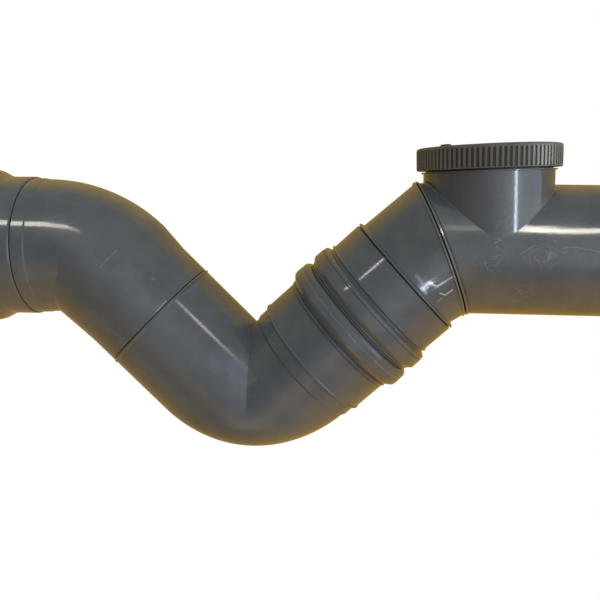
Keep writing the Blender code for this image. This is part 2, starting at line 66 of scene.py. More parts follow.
# Radii
PIPE_RADIUS = 0.0550
LEG_RADIUS = 0.0562
ELBOW_RADIUS = 0.0556
SOCKET_RADIUS = 0.0589
OUTLET_SOCKET_RADIUS = 0.0604
BEND_END_RADIUS = 0.0576
OUTLET_END_RADIUS = 0.0593
OUTLET_BEND_RADIUS = 0.0583
BORE_RADIUS = 0.0520
PUSH_BORE = 0.0553
TONGUE_RADIUS = 0.0541
NECK_RADIUS = 0.0532
NECK_BORE = 0.0500
COLLAR_RADIUS = 0.0548
SPOUT_RADIUS = 0.0515
SPOUT_BORE = 0.0484
SEAL_GROOVE_RADIUS = 0.0606
OUTLET_GROOVE_RADIUS = 0.0630
STOP_RIB_RADIUS = 0.0602

# Seams, beads and mouths, measured along each pipe from its own corner
GAP = 0.0003
TONGUE_LENGTH = 0.0050
STOP_THICK = 0.0032
STOP_RIB_WIDTH = 0.0011
MOUTH_CHAMFER = 0.0019
BEAD_HEIGHT = 0.0011
BEAD_WIDTH = 0.0024
GROOVE_DEPTH = 0.0006
UPPER_SEAM = 0.0360
UPPER_BEAD = 0.0643
UPPER_MOUTH = 0.0875
STOP_RIB = 0.0884
UPPER_GROOVE = (0.0832, 0.0724)
LOWER_MOUTH = 0.0893
LOWER_GROOVE = (0.0934, 0.1048)
LOWER_BEAD = 0.1108
LOWER_SEAM = 0.1432
SHOULDER = 0.1545
NIPPLE_REACH = 0.0420
LEG_START = 0.0600
LEG_SEAM = 0.0872
OUTLET_SEAM = 0.0448
OUTLET_SHOULDER = 0.0334
OUTLET_MOUTH = 0.1014
OUTLET_GROOVE = (0.0939, 0.0804)
MITRE_BAND = 0.0038
INLET_BAND = 0.0050

# Bends
TRAP_SWEEP = 0.1200
OUTLET_SWEEP = 0.1430
CREASE_END = 0.22
CREASE_CURVE = 1.15
SWEEP_CLEARANCE = 0.0003
WALL = 0.0042

# Outlines of the seal bulges: place along the pipe, radius and rounding. The outlet's count from its seam
OUTLET_BULGE = (
    (0.0225, 0.0000, 0.0060), (0.0290, 0.0024, 0.0080), (0.0350, 0.0056, 0.0080), (0.0386, 0.0066, 0.0060),
    (0.0496, 0.0066, 0.0040), (0.0531, 0.0052, 0.0030), (0.0544, 0.0015, 0.0006),
)
LOWER_BULGE = (
    (0.1092, 0.0592, 0.0020), (0.1072, 0.0618, 0.0010), (0.1047, 0.0644, 0.0012), (0.1022, 0.0650, 0.0020),
    (0.0925, 0.0645, 0.0010), (0.0905, 0.0630, 0.0003), (0.0897, 0.0618, 0.0003),
    (LOWER_MOUTH, 0.0606, 0.0003),
)
UPPER_BULGE = (
    (0.0674, 0.0592, 0.0004), (0.0690, 0.0622, 0.0004), (0.0698, 0.0631, 0.0003), (0.0721, 0.0634, 0.0002),
    (0.0723, 0.0629, 0.0), (0.0725, 0.0629, 0.0), (0.0727, 0.0637, 0.0002), (0.0818, 0.0641, 0.0004),
    (0.0858, 0.0610, 0.0004), (0.0864, 0.0609, 0.0003), (UPPER_MOUTH, 0.0604, 0.0003),
)

# Mitre ridges and inlet's end: place behind the plane, height over the pipe and, on the elbow, rounding
ELBOW_RIDGE = (
    (0.0028, 0.0, 0.0004), (0.0021, 0.0013, 0.0009), (0.0008, 0.0013, 0.0009), (0.0003, -0.0004, 0.0),
)
TEE_RIDGE = (
    (0.0036, -0.0001), (0.0035, -0.0008), (0.0029, -0.0008), (0.0027, 0.0001), (0.0025, 0.0008),
    (0.0021, 0.0012), (0.0012, 0.0013), (0.0007, 0.0010), (0.0005, 0.0004), (0.0004, -0.0006),
    (0.0002, -0.0012),
)
INLET_END = ((0.0006, -0.00005), (0.0002, -0.0010), (0.0, -0.0014))

# Neck, spout and cap
NECK_FILLET = 0.0012
BORE_FILLET = 0.0005
COLLAR_TOP = 0.0660
COLLAR_THICK = 0.0012
SPOUT_TOP = 0.0800
CAP_BOTTOM = 0.0671
CAP_TOP = 0.0856
CAP_RADIUS = 0.0588
CAP_SHOULDER = 0.0022
CAP_RIBS = 90
RIB_DEPTH = 0.0009
RIB_RISE = (0.02, 0.16)
RIB_FALL = (0.50, 0.64)
FLUTE_BOTTOM = 0.0681
FLUTE_TOP = 0.0832
SKIRT_BORE = 0.0533
CAP_SEAL_THICK = 0.0022
THREAD_PITCH = 0.0060
THREAD_START = 0.0690
THREAD_ROOT_HALF = 0.0011
THREAD_CREST_HALF = 0.0005
THREAD_FADE = 0.08
SPOUT_CREST = 0.0525
SPOUT_TURNS = 1.3
CAP_CREST = 0.0523
CAP_TURNS = 1.0
LUG_SIZE = (0.0090, 0.0050, 0.0034)
LUG_PLACE = (-0.0385, -0.0270)
LUG_ROUNDING = 0.0007

# Fineness of the surfaces
COLUMNS = 192
ARC_STEPS = 4
SWEEP_STEPS = 48
TEE_SIDE_COLUMNS = 56
TEE_ROWS = 20
TEE_CROWDING = 1.3
FILLET_STEPS = 10
INNER_FILLET_STEPS = 2
RIB_COLUMNS = 14
SHOULDER_STEPS = 8

# Camera fitted to the photograph
CAMERA_PLACE = Vector((-0.1181, -0.5864, 0.0529))
CAMERA_YAW = math.radians(4.02)
CAMERA_PITCH = math.radians(9.70)
CAMERA_ROLL = math.radians(0.615)
CAMERA_LENS = 40.61
CAMERA_SENSOR = 36.0

# Surroundings by direction, the slopes of the lines where wall and floor begin, and the pale floor
ROOM_LEFT = (0.06, 0.065, 0.075)
ROOM_LEFT_LOW = (0.26, 0.20, 0.13)
ROOM_MIDDLE_LOW = (1.10, 0.80, 0.45)
ROOM_RIGHT_LOW = (0.45, 0.40, 0.36)
ROOM_RIGHT = (1.26, 1.40, 1.62)
ROOM_CEILING = (0.43, 0.45, 0.42)
ROOM_WALL_LOW = (0.44, 0.28, 0.04)
ROOM_WALL_HIGH = (0.70, 0.50, 0.17)
ROOM_FLOOR = (0.80, 0.49, 0.14)
ROOM_FLOOR_BACK = (0.60, 0.36, 0.05)
ROOM_FLOOR_LEFT = (0.52, 0.34, 0.11)
WALL_EDGE = 2.05
FLOOR_EDGE = 1.43
FLOOR_HEIGHT = -0.75
FLOOR_SIZE = 4.0

# Lamps: name, the two ends of each, its width, colour, radiance and the pieces that it lights
LAMP_TARGET = Vector((-0.15, 0.0, -0.03))
TEE = ("access_tee",)
ELBOW = ("upper_elbow",)
TRAP = ("trap_bend",)
OUTLET = ("outlet_bend", "outlet_socket")
LAMPS = (
    ("run_streak", ((0.51, -1.5, 1.05), (0.98, -1.5, 1.40)),
     0.21, (1.0, 0.95, 0.82), 19.0, TEE),
    ("run_streak_rise", ((0.548, -1.5, 1.52), (0.522, -1.5, 1.10)),
     0.15, (1.0, 0.95, 0.82), 24.0, TEE),
    ("shoulder_glow", ((0.20, -1.5, 1.22), (0.36, -1.5, 1.32)),
     0.26, (1.0, 0.97, 0.90), 2.0, TEE),
    ("neck_window", ((1.11, -1.5, -0.40), (1.13, -1.5, 0.45)),
     0.12, (0.70, 0.83, 1.0), 24.0, TEE),
    ("leg_streak", ((1.225, -1.5, 1.375), (1.33, -1.5, 1.355)),
     0.20, (1.0, 0.90, 0.78), 14.0, TRAP),
    ("leg_streak_tail", ((1.33, -1.5, 1.355), (1.50, -1.5, 1.38)),
     0.09, (1.0, 0.92, 0.82), 5.0, TRAP),
    ("socket_line", ((-1.40, -1.5, 1.47), (-1.215, -1.5, 1.445)),
     0.05, (1.0, 0.97, 0.92), 36.0, ("upper_socket",)),
    ("elbow_glint", ((0.65, -1.5, -0.61), (0.46, -1.5, -0.43)),
     0.10, (0.74, 0.86, 1.0), 32.0, ELBOW),
    ("elbow_glint_end", ((0.4845, -1.0, -0.601), (0.4617, -1.0, -0.6626)),
     0.04, (0.9, 0.94, 1.0), 16.0, ELBOW),
    ("cap_window", ((2.00, -0.40, -0.40), (2.00, -0.40, 0.60)),
     0.80, (0.90, 0.95, 1.0), 16.0, ("access_cap",)),
    ("outlet_streak", ((-1.72, -1.5, 1.33), (-1.05, -1.5, 1.26)),
     0.25, (1.0, 0.94, 0.82), 13.0, OUTLET),
    ("outlet_streak_middle", ((-1.05, -1.5, 1.26), (-0.62, -1.5, 1.37)),
     0.21, (1.0, 0.94, 0.82), 11.0, OUTLET),
    ("outlet_streak_end", ((-0.62, -1.5, 1.37), (-0.39, -1.5, 1.25)),
     0.18, (1.0, 0.86, 0.66), 6.0, OUTLET),
)

# Colours of the finishes
PVC_GREY = (0.108, 0.120, 0.135)
PVC_PALE = (0.143, 0.156, 0.170)
CAP_GREY = (0.128, 0.126, 0.116)
CAP_PALE = (0.185, 0.180, 0.162)
SCUFF_PALE = (0.25, 0.26, 0.29)
RIDGE_CROWN_BEIGE = (0.27, 0.24, 0.19)
# Painted reflection in part: a pale blue laid on the hazy patches, some of which stand for a window's
# reflection
HAZE_AND_REFLECTION_BLUE = (0.205, 0.235, 0.30)
# Painted highlight in part: a bright blue-white for the rubbed lines, which on the elbow stand for a window's
# glint
SCUFF_AND_GLINT_BLUE = (0.66, 0.76, 0.92)
# Dark brown: real dirt for the pipe's specks, painted shade for the cap's flutes
DIRT_AND_SHADE = (0.030, 0.026, 0.020)
CAP_SPECK = (0.26, 0.25, 0.22)
RUBBER_BLACK = (0.012, 0.012, 0.013)
RUBBER_BLOOM = (0.035, 0.034, 0.032)
FLOOR_PALE = (0.92, 0.91, 0.89, 1.0)
WHITE = (1.0, 1.0, 1.0, 1.0)

# How strongly each mark shows on the grey plastic, and how high its surface waves
FILM_SHOWS = 0.55
SCUFFS_SHOW = 0.42
STRAY_LINES_SHOW = 0.6
RINGS_SHOW = 0.42
PALE_SPECKS_SHOW = 0.6
PARTING_SHOWS = 0.9
HAZE_AND_REFLECTION_SHOWS = 0.55
RIDGE_CROWN_BEIGE_SHOWS = 0.7
DIRT_SHOWS = 0.8
BROAD_WAVES = 0.000030
PEEL = 0.000027
FINE_GRAIN = 0.0000030
MARK_HEIGHT = 0.00003

# How far a pattern is moved so that two of a kind don't coincide
BREAKS_SHIFT = (0.37, 0.11, 0.73)
PALE_SPECKS_SHIFT = (0.31, 0.17, 0.53)

# Rubbed lines, partly scuffs and partly painted highlights of a window's glint on the elbow: width, strength
# and the places that each runs through
SCUFF_AND_GLINT_LINES = (
    (0.0005, 0.28, ((-0.3175, -0.0561, -0.0146), (-0.3141, -0.0549, -0.0111), (-0.3112, -0.0535, -0.0079),
                    (-0.3084, -0.0517, -0.0048), (-0.3054, -0.0493, -0.0013))),
    (0.0020, 0.30, ((-0.0638, -0.0556, -0.0169), (-0.0588, -0.0553, -0.0232))),
    (0.0020, 0.95, ((-0.0595, -0.0550, -0.0264), (-0.0579, -0.0550, -0.0256), (-0.0550, -0.0551, -0.0223),
                    (-0.0525, -0.0547, -0.0235))),
    (0.0010, 0.85, ((-0.0525, -0.0547, -0.0235), (-0.0477, -0.0537, -0.0251))),
    (0.0012, 1.00, ((-0.0477, -0.0537, -0.0251), (-0.0416, -0.0535, -0.0212))),
    (0.0010, 0.60, ((-0.0416, -0.0535, -0.0212), (-0.0360, -0.0534, -0.0172))),
    (0.0016, 0.55, ((-0.0579, -0.0550, -0.0256), (-0.0561, -0.0540, -0.0305))),
    (0.0008, 0.80, ((-0.0448, -0.0517, -0.0308), (-0.0406, -0.0500, -0.0324), (-0.0350, -0.0499, -0.0282))),
    (0.0008, 0.30, ((-0.0459, -0.0497, -0.0374), (-0.0428, -0.0497, -0.0349))),
    (0.0007, 0.14, ((-0.0057, -0.0541, 0.0098), (-0.0012, -0.0537, 0.0118))),
    (0.0009, 0.35, ((-0.2724, -0.0533, -0.0502), (-0.2660, -0.0489, -0.0426))),
    (0.0009, 0.11, ((0.0375, -0.0549, 0.0037), (0.0351, -0.0548, -0.0041))),
    (0.0007, 0.10, ((0.0150, -0.0550, 0.0017), (0.0253, -0.0543, 0.0088))),
    (0.0007, 0.11, ((0.0479, -0.0546, 0.0069), (0.0560, -0.0544, 0.0078), (0.0741, -0.0548, 0.0043))),
    (0.0006, 0.11, ((-0.0127, -0.0548, -0.0050), (-0.0091, -0.0538, -0.0113), (-0.0059, -0.0537, -0.0121))),
)

# Hazy patches, partly rubbed haze and partly painted bluish reflections of a window: middle, radius and
# strength
HAZES_AND_REFLECTIONS = (
    ((-0.2070, -0.0486, -0.0992), 0.0150, 0.85),
    ((-0.2025, -0.0494, -0.1057), 0.0120, 0.80),
    ((-0.2209, -0.0506, -0.0911), 0.0150, 0.50),
    ((-0.3007, -0.0526, -0.0172), 0.0100, 0.40),
    ((-0.2920, -0.0520, -0.0253), 0.0120, 0.45),
    ((-0.2823, -0.0525, -0.0374), 0.0110, 0.35),
    ((-0.2772, -0.0459, -0.0250), 0.0024, 1.00),
    ((-0.0588, -0.0553, -0.0232), 0.0070, 0.80),
    ((-0.0561, -0.0540, -0.0305), 0.0060, 0.45),
    ((-0.0450, -0.0530, -0.0260), 0.0120, 0.25),
)

# Flat round gate marks: middle and radius
GATE_MARKS = (
    ((-0.0457, -0.0556, -0.0073), 0.0082),
    ((0.0288, -0.0550, -0.0011), 0.0070),
)

# The part of the run that is scribbled over with fine scuffs, and the lower socket's parting line
SCRIBBLE_MIDDLE = (0.0250, -0.0600, -0.0020)
SCRIBBLE_RADIUS = 0.0620
PARTING_PLACE = 0.0965

# Corners and directions of the pipe's axis
RISE_CORNER = Vector((-RISE_FROM_NECK, 0.0, 0.0))
DOWN_RISE = Vector((-math.cos(RISE_ANGLE), 0.0, -math.sin(RISE_ANGLE)))
TRAP_CORNER = RISE_CORNER + DOWN_RISE * RISE_LENGTH
UP_FALL = Vector((-math.cos(FALL_ANGLE), 0.0, math.sin(FALL_ANGLE)))
OUTLET_CORNER = TRAP_CORNER + UP_FALL * FALL_LENGTH
TO_OUTLET = Vector((-math.cos(OUTLET_ANGLE), 0.0, -math.sin(OUTLET_ANGLE)))
NECK_UP = Vector((-math.sin(NECK_LEAN), 0.0, math.cos(NECK_LEAN)))


def placed(place, *axes):
    """Matrix that puts an object at this place with these local X, Y and Z axes."""
    return Matrix.Translation(place) @ Matrix(axes).transposed().to_4x4()


def axis_frame(corner, along, side):
    """Matrix whose local Z runs along a pipe and whose local X is this side of it."""
    return placed(corner, side, along.cross(side), along)


OUTLET_SIDE = Vector((-math.sin(OUTLET_ANGLE), 0.0, math.cos(OUTLET_ANGLE)))
RISE_SIDE = Vector((math.sin(RISE_ANGLE), 0.0, -math.cos(RISE_ANGLE)))
NECK_SIDE = Vector((math.cos(NECK_LEAN), 0.0, math.sin(NECK_LEAN)))
OUTLET_AXIS = axis_frame(OUTLET_CORNER, TO_OUTLET, OUTLET_SIDE)
RISE_AXIS = axis_frame(RISE_CORNER, DOWN_RISE, RISE_SIDE)
NECK_AXIS = axis_frame(Vector(), NECK_UP, NECK_SIDE)


def add_piece(name, bm, material, place=None, sharp=32.0, crease=None):
    """Finish a bmesh as one smooth-shaded piece, its mesh moved from this place into the shared frame.

    Edges bent more than the sharp angle stay crisp, and so do those that crease picks out.
    """
    if place is not None:
        bm.transform(place)
    bmesh.ops.recalc_face_normals(bm, faces=bm.faces)
    for face in bm.faces:
        face.smooth = True
    for edge in bm.edges:
        bent = edge.calc_face_angle(0.0)
        if bent > math.radians(sharp) or (crease and bent > math.radians(5.0) and crease(edge)):
            edge.smooth = False
    mesh = bpy.data.meshes.new(name)
    bm.to_mesh(mesh)
    bm.free()
    mesh.materials.append(material)
    piece = bpy.data.objects.new(name, mesh)
    bpy.context.scene.collection.objects.link(piece)
    return piece


def fill_between(bm, ring, following, closed=True):
    """Quads between two rings, or between two open lines of vertices."""
    count = len(ring)
    for i in range(count if closed else count - 1):
        j = (i + 1) % count
        bm.faces.new((ring[i], ring[j], following[j], following[i]))


def join_rings(bm, rings, closed=True):
    followers = rings[1:] + rings[:1] if closed else rings[1:]
    for ring, following in zip(rings, followers):
        fill_between(bm, ring, following)


def rounded(outline, closed=True):
    """Turn an outline's corners into arcs. Points are (along, radius, rounding).

    A ring in a slanting plane adds its centre's side and the plane's slope.
    """
    result = []
    count = len(outline)
    for i, (along, radius, rounding, *slant) in enumerate(outline):
        corner = Vector((along, radius))
        end = not closed and i in (0, count - 1)
        if rounding == 0.0 or end:
            result.append((along, radius, *slant))
            continue
        before = Vector(outline[i - 1][:2]) - corner
        after = Vector(outline[(i + 1) % count][:2]) - corner
        reach = min(rounding / math.tan(before.angle(after) / 2), before.length * 0.49, after.length * 0.49)
        start = corner + before.normalized() * reach
        stop = corner + after.normalized() * reach
        for k in range(ARC_STEPS + 1):
            t = k / ARC_STEPS
            point = start * (1 - t) ** 2 + corner * 2 * t * (1 - t) + stop * t**2
            result.append((point.x, point.y, *slant))
    return result


def turned(name, outline, material, place):
    """A closed outline turned about the local Z of its place."""
    bm = bmesh.new()
    rings = []
    for along, radius, *slant in rounded(outline):
        centre, slope = slant or (0.0, 0.0)
        ring = []
        for i in range(COLUMNS):
            angle = math.tau * i / COLUMNS
            side = centre + radius * math.cos(angle)
            ring.append(bm.verts.new((side, radius * math.sin(angle), along + side * slope)))
        rings.append(ring)
    join_rings(bm, rings)
    return add_piece(name, bm, material, place)


def bead(centre, radius, way):
    """Outline of a low rounded rib on a tube, in the order of rising or falling places."""
    return [
        (centre - way * BEAD_WIDTH * 0.50, radius, 0.0005),
        (centre - way * BEAD_WIDTH * 0.26, radius + BEAD_HEIGHT, 0.0005),
        (centre + way * BEAD_WIDTH * 0.26, radius + BEAD_HEIGHT, 0.0005),
        (centre + way * BEAD_WIDTH * 0.50, radius, 0.0005),
    ]


def groove(start, radius, way):
    """Outline of the narrow groove beside a bead."""
    return [
        (start, radius, 0.0),
        (start + way * 0.0002, radius - GROOVE_DEPTH, 0.0002),
        (start + way * 0.0010, radius - GROOVE_DEPTH, 0.0002),
        (start + way * 0.0012, radius, 0.0),
    ]


class BentSkin:
    """One skin of a moulded bend, sharply mitred on the inner side and swept round outside."""

    def __init__(self, corner, first, second, sweep):
        self.corner = corner
        self.arms = (first, second)
        self.inside = (first + second).normalized()
        self.sides = tuple((self.inside - arm * self.inside.dot(arm)).normalized() for arm in self.arms)
        self.half_turn = (math.pi - first.angle(second)) / 2
        self.sweep = sweep

    def on_arm(self, arm, distance, radius, angle):
        across = Vector((0.0, radius * math.sin(angle), 0.0))
        side = self.sides[arm] * radius * math.cos(angle)
        return self.corner + self.arms[arm] * distance + side + across

    def round_corner(self, radius, angle):
        share = math.cos(angle)
        across = Vector((0.0, radius * math.sin(angle), 0.0))
        spread = (self.sides[0] + self.sides[1]) / (1.0 + self.sides[0].dot(self.sides[1]))
        meeting = self.corner + spread * radius * share + across
        reach = max(0.0, (CREASE_END - share) / (CREASE_END + 1.0))
        fillet = self.sweep * reach**CREASE_CURVE
        centre = meeting + self.inside * fillet / math.cos(self.half_turn)
        spokes = [(-self.sides[0]).slerp(-self.sides[1], k / SWEEP_STEPS) for k in range(SWEEP_STEPS + 1)]
        return [centre + spoke * fillet for spoke in spokes]

    def rings(self, bm, before, radius, after):
        """Rings from arm to arm. Those of the arms keep clear of where the swept part starts."""
        angles = [math.tau * i / COLUMNS for i in range(COLUMNS)]
        columns = [self.round_corner(radius, angle) for angle in angles]

        def arm_ring(arm, step, distance, size):
            ring = []
            for angle, column in zip(angles, columns):
                start = (column[-arm] - self.corner).dot(self.arms[arm])
                clear = max(distance, start + SWEEP_CLEARANCE * step)
                ring.append(bm.verts.new(self.on_arm(arm, clear, size, angle)))
            return ring

        made = [arm_ring(0, len(before) - i + 1, *place[:2]) for i, place in enumerate(before)]
        made.append(arm_ring(0, 1, -self.sweep, radius))
        made += [[bm.verts.new(column[k]) for column in columns] for k in range(SWEEP_STEPS + 1)]
        made.append(arm_ring(1, 1, -self.sweep, radius))
        made += [arm_ring(1, i + 2, *place[:2]) for i, place in enumerate(after)]
        return made


def bent_tube(name, corner, arms, sweep, outer, inner, material):
    """A moulded bend. Outer and inner are (before, radius, after) with places as rounded takes them."""
    bm = bmesh.new()
    skins = []
    for share, (before, radius, after) in ((0.0, outer), (WALL, inner)):
        skin = BentSkin(corner, *arms, sweep - share)
        start = rounded(before + [(0.0, radius, 0.0)], closed=False)[:-1]
        stop = rounded([(0.0, radius, 0.0)] + after, closed=False)[1:]
        skins.append(skin.rings(bm, start, radius, stop))
    join_rings(bm, skins[0] + skins[1][::-1])
    bmesh.ops.remove_doubles(bm, verts=bm.verts, dist=2e-6)
    across_mitre = (arms[0] - arms[1]).normalized()

    def in_mitre(edge):
        return all(abs((vert.co - corner).dot(across_mitre)) < 1e-5 for vert in edge.verts)

    return add_piece(name, bm, material, crease=in_mitre)


def outlet_socket(material):
    seam = OUTLET_SEAM + GAP / 2
    radius = OUTLET_SOCKET_RADIUS
    groove_end, groove_start = OUTLET_GROOVE
    outline = [(seam, radius - 0.0008, 0.0), (seam + 0.0012, radius, 0.0006)]
    outline += [(seam + along, radius + out, rounding) for along, out, rounding in OUTLET_BULGE]
    outline += [
        (OUTLET_MOUTH, radius + 0.0005, 0.0004),
        (OUTLET_MOUTH, PUSH_BORE + MOUTH_CHAMFER, 0.0003),
        (OUTLET_MOUTH - 0.0030, PUSH_BORE, 0.0010),
        (groove_end, PUSH_BORE, 0.0002),
        (groove_end, OUTLET_GROOVE_RADIUS, 0.0008),
        (groove_start, OUTLET_GROOVE_RADIUS, 0.0008),
        (groove_start, PUSH_BORE, 0.0002),
        (seam + STOP_THICK, PUSH_BORE, 0.0004),
        (seam + STOP_THICK, BORE_RADIUS, 0.0003),
        (seam - TONGUE_LENGTH, BORE_RADIUS, 0.0002),
        (seam - TONGUE_LENGTH, TONGUE_RADIUS, 0.0),
        (seam, TONGUE_RADIUS, 0.0),
    ]
    return turned("outlet_socket_skin", outline, material, OUTLET_AXIS)


def outlet_bend(material):
    seam = OUTLET_SEAM - GAP / 2
    rebate = OUTLET_SEAM - TONGUE_LENGTH - GAP / 2
    leg_end = LEG_SEAM - GAP / 2
    outer = (
        [(seam, OUTLET_END_RADIUS - 0.0007, 0.0), (seam - 0.0006, OUTLET_END_RADIUS, 0.0003),
         (OUTLET_SHOULDER + 0.0008, OUTLET_END_RADIUS - 0.0003, 0.0006),
         (OUTLET_SHOULDER - 0.0006, OUTLET_BEND_RADIUS + 0.0002, 0.0008)],
        OUTLET_BEND_RADIUS,
        [(LEG_START, LEG_RADIUS, 0.0), (leg_end - 0.0003, LEG_RADIUS, 0.0001),
         (leg_end, LEG_RADIUS - 0.0012, 0.0), (leg_end, TONGUE_RADIUS, 0.0),
         (leg_end + TONGUE_LENGTH, TONGUE_RADIUS, 0.0)],
    )
    inner = (
        [(seam, TONGUE_RADIUS + GAP, 0.0), (rebate, TONGUE_RADIUS + GAP, 0.0), (rebate, BORE_RADIUS, 0.0)],
        BORE_RADIUS,
        [(leg_end + TONGUE_LENGTH, BORE_RADIUS, 0.0)],
    )
    arms = (TO_OUTLET, -UP_FALL)
    return bent_tube("outlet_bend_skin", OUTLET_CORNER, arms, OUTLET_SWEEP, outer, inner, material)


def trap_bend(material):
    leg_end = FALL_LENGTH - LEG_SEAM - GAP / 2
    leg_rebate = leg_end - TONGUE_LENGTH - GAP
    shoulder = RISE_LENGTH - SHOULDER
    rise_end = RISE_LENGTH - LOWER_SEAM - GAP / 2
    rise_rebate = rise_end - TONGUE_LENGTH - GAP
    ridge = leg_end - BEAD_WIDTH * 0.60
    outer = (
        [(leg_end, LEG_RADIUS - 0.0012, 0.0), (leg_end - 0.0003, LEG_RADIUS + 0.0002, 0.0002),
         (ridge, LEG_RADIUS + BEAD_HEIGHT, 0.0006), (ridge - BEAD_WIDTH * 0.6, LEG_RADIUS, 0.0008)],
        LEG_RADIUS,
        [(shoulder - 0.0008, LEG_RADIUS, 0.0008), (shoulder + 0.0005, BEND_END_RADIUS, 0.0006),
         (rise_end, BEND_END_RADIUS, 0.0002)],
    )
    inner = (
        [(leg_end, TONGUE_RADIUS + GAP, 0.0), (leg_rebate, TONGUE_RADIUS + GAP, 0.0),
         (leg_rebate, BORE_RADIUS, 0.0)],
        BORE_RADIUS,
        [(rise_rebate, BORE_RADIUS, 0.0), (rise_rebate, TONGUE_RADIUS + GAP, 0.0),
         (rise_end, TONGUE_RADIUS + GAP, 0.0)],
    )
    arms = (UP_FALL, -DOWN_RISE)
    return bent_tube("trap_bend_skin", TRAP_CORNER, arms, TRAP_SWEEP, outer, inner, material)


def socket_bore(mouth, groove_places, seam, way):
    """Inside of a ring-seal socket from its mouth to its weld tongue; way is +1 or -1 down the leg."""
    near, far = groove_places
    stop = seam - way * STOP_THICK
    return [
        (mouth, PUSH_BORE + MOUTH_CHAMFER, 0.0003),
        (mouth + way * 0.0022, PUSH_BORE, 0.0008),
        (near, PUSH_BORE, 0.0),
        (near, SEAL_GROOVE_RADIUS, 0.0),
        (far, SEAL_GROOVE_RADIUS, 0.0),
        (far, PUSH_BORE, 0.0),
        (stop, PUSH_BORE, 0.0),
        (stop, BORE_RADIUS, 0.0003),
        (seam + way * TONGUE_LENGTH, BORE_RADIUS, 0.0),
        (seam + way * TONGUE_LENGTH, TONGUE_RADIUS, 0.0),
        (seam, TONGUE_RADIUS, 0.0),
    ]


def lower_socket(material):
    seam = LOWER_SEAM - GAP / 2
    outline = [
        (seam, SOCKET_RADIUS + BEAD_HEIGHT * 0.3, 0.0003),
        (seam - BEAD_WIDTH * 0.35, SOCKET_RADIUS + BEAD_HEIGHT, 0.0006),
        (seam - BEAD_WIDTH, SOCKET_RADIUS, 0.0008),
    ]
    outline += groove(LOWER_BEAD + 0.0025, SOCKET_RADIUS, -1)
    outline += bead(LOWER_BEAD, SOCKET_RADIUS, -1)
    outline += LOWER_BULGE
    outline += socket_bore(LOWER_MOUTH, LOWER_GROOVE, seam, 1)
    return turned("lower_socket_skin", outline, material, RISE_AXIS)


def upper_socket(material):
    seam = UPPER_SEAM + GAP / 2
    outline = [(seam, SOCKET_RADIUS - 0.0008, 0.0), (seam + 0.0005, SOCKET_RADIUS, 0.0002)]
    outline += bead(UPPER_BEAD, SOCKET_RADIUS, 1)
    outline += groove(UPPER_BEAD + 0.0013, SOCKET_RADIUS, 1)
    outline += UPPER_BULGE
    outline += socket_bore(UPPER_MOUTH, UPPER_GROOVE, seam, -1)
    return turned("upper_socket_skin", outline, material, RISE_AXIS)


def middle_nipple(material):
    low = STOP_RIB - NIPPLE_REACH
    high = STOP_RIB + NIPPLE_REACH
    rib = STOP_RIB_WIDTH / 2
    outline = [
        (low, PIPE_RADIUS - 0.0015, 0.0),
        (low + 0.0050, PIPE_RADIUS, 0.0),
        (STOP_RIB - rib, PIPE_RADIUS, 0.0002),
        (STOP_RIB - rib, STOP_RIB_RADIUS, 0.0003),
        (STOP_RIB + rib, STOP_RIB_RADIUS, 0.0003),
        (STOP_RIB + rib, PIPE_RADIUS, 0.0002),
        (high - 0.0050, PIPE_RADIUS, 0.0),
        (high, PIPE_RADIUS - 0.0015, 0.0),
        (high, BORE_RADIUS, 0.0),
        (low, BORE_RADIUS, 0.0),
    ]
    return turned("middle_nipple_skin", outline, material, RISE_AXIS)


def upper_elbow(material):
    spread = RISE_FROM_NECK - MITRE_FROM_NECK
    turn = RISE_ANGLE - MITRE_LEAN
    slant = (spread * math.sin(RISE_ANGLE), math.tan(turn))
    plane = -spread * math.cos(MITRE_LEAN) / math.cos(turn)
    seam = UPPER_SEAM - GAP / 2
    rebate = seam - TONGUE_LENGTH - GAP
    outline = [
        (seam, SOCKET_RADIUS - 0.0017, 0.0),
        (seam - 0.0009, SOCKET_RADIUS + 0.0006, 0.0004),
        (seam - 0.0022, SOCKET_RADIUS + 0.0002, 0.0006),
        (seam - 0.0036, ELBOW_RADIUS, 0.0012),
    ]
    outline += [(plane + back, ELBOW_RADIUS + out, rounding, *slant) for back, out, rounding in ELBOW_RIDGE]
    outline += [
        (plane + GAP / 2, ELBOW_RADIUS - 0.0014, 0.0, *slant),
        (plane + GAP / 2, BORE_RADIUS, 0.0, *slant),
        (rebate, BORE_RADIUS, 0.0),
        (rebate, TONGUE_RADIUS + GAP, 0.0),
        (seam, TONGUE_RADIUS + GAP, 0.0),
    ]
    return turned("upper_elbow_skin", outline, material, RISE_AXIS)


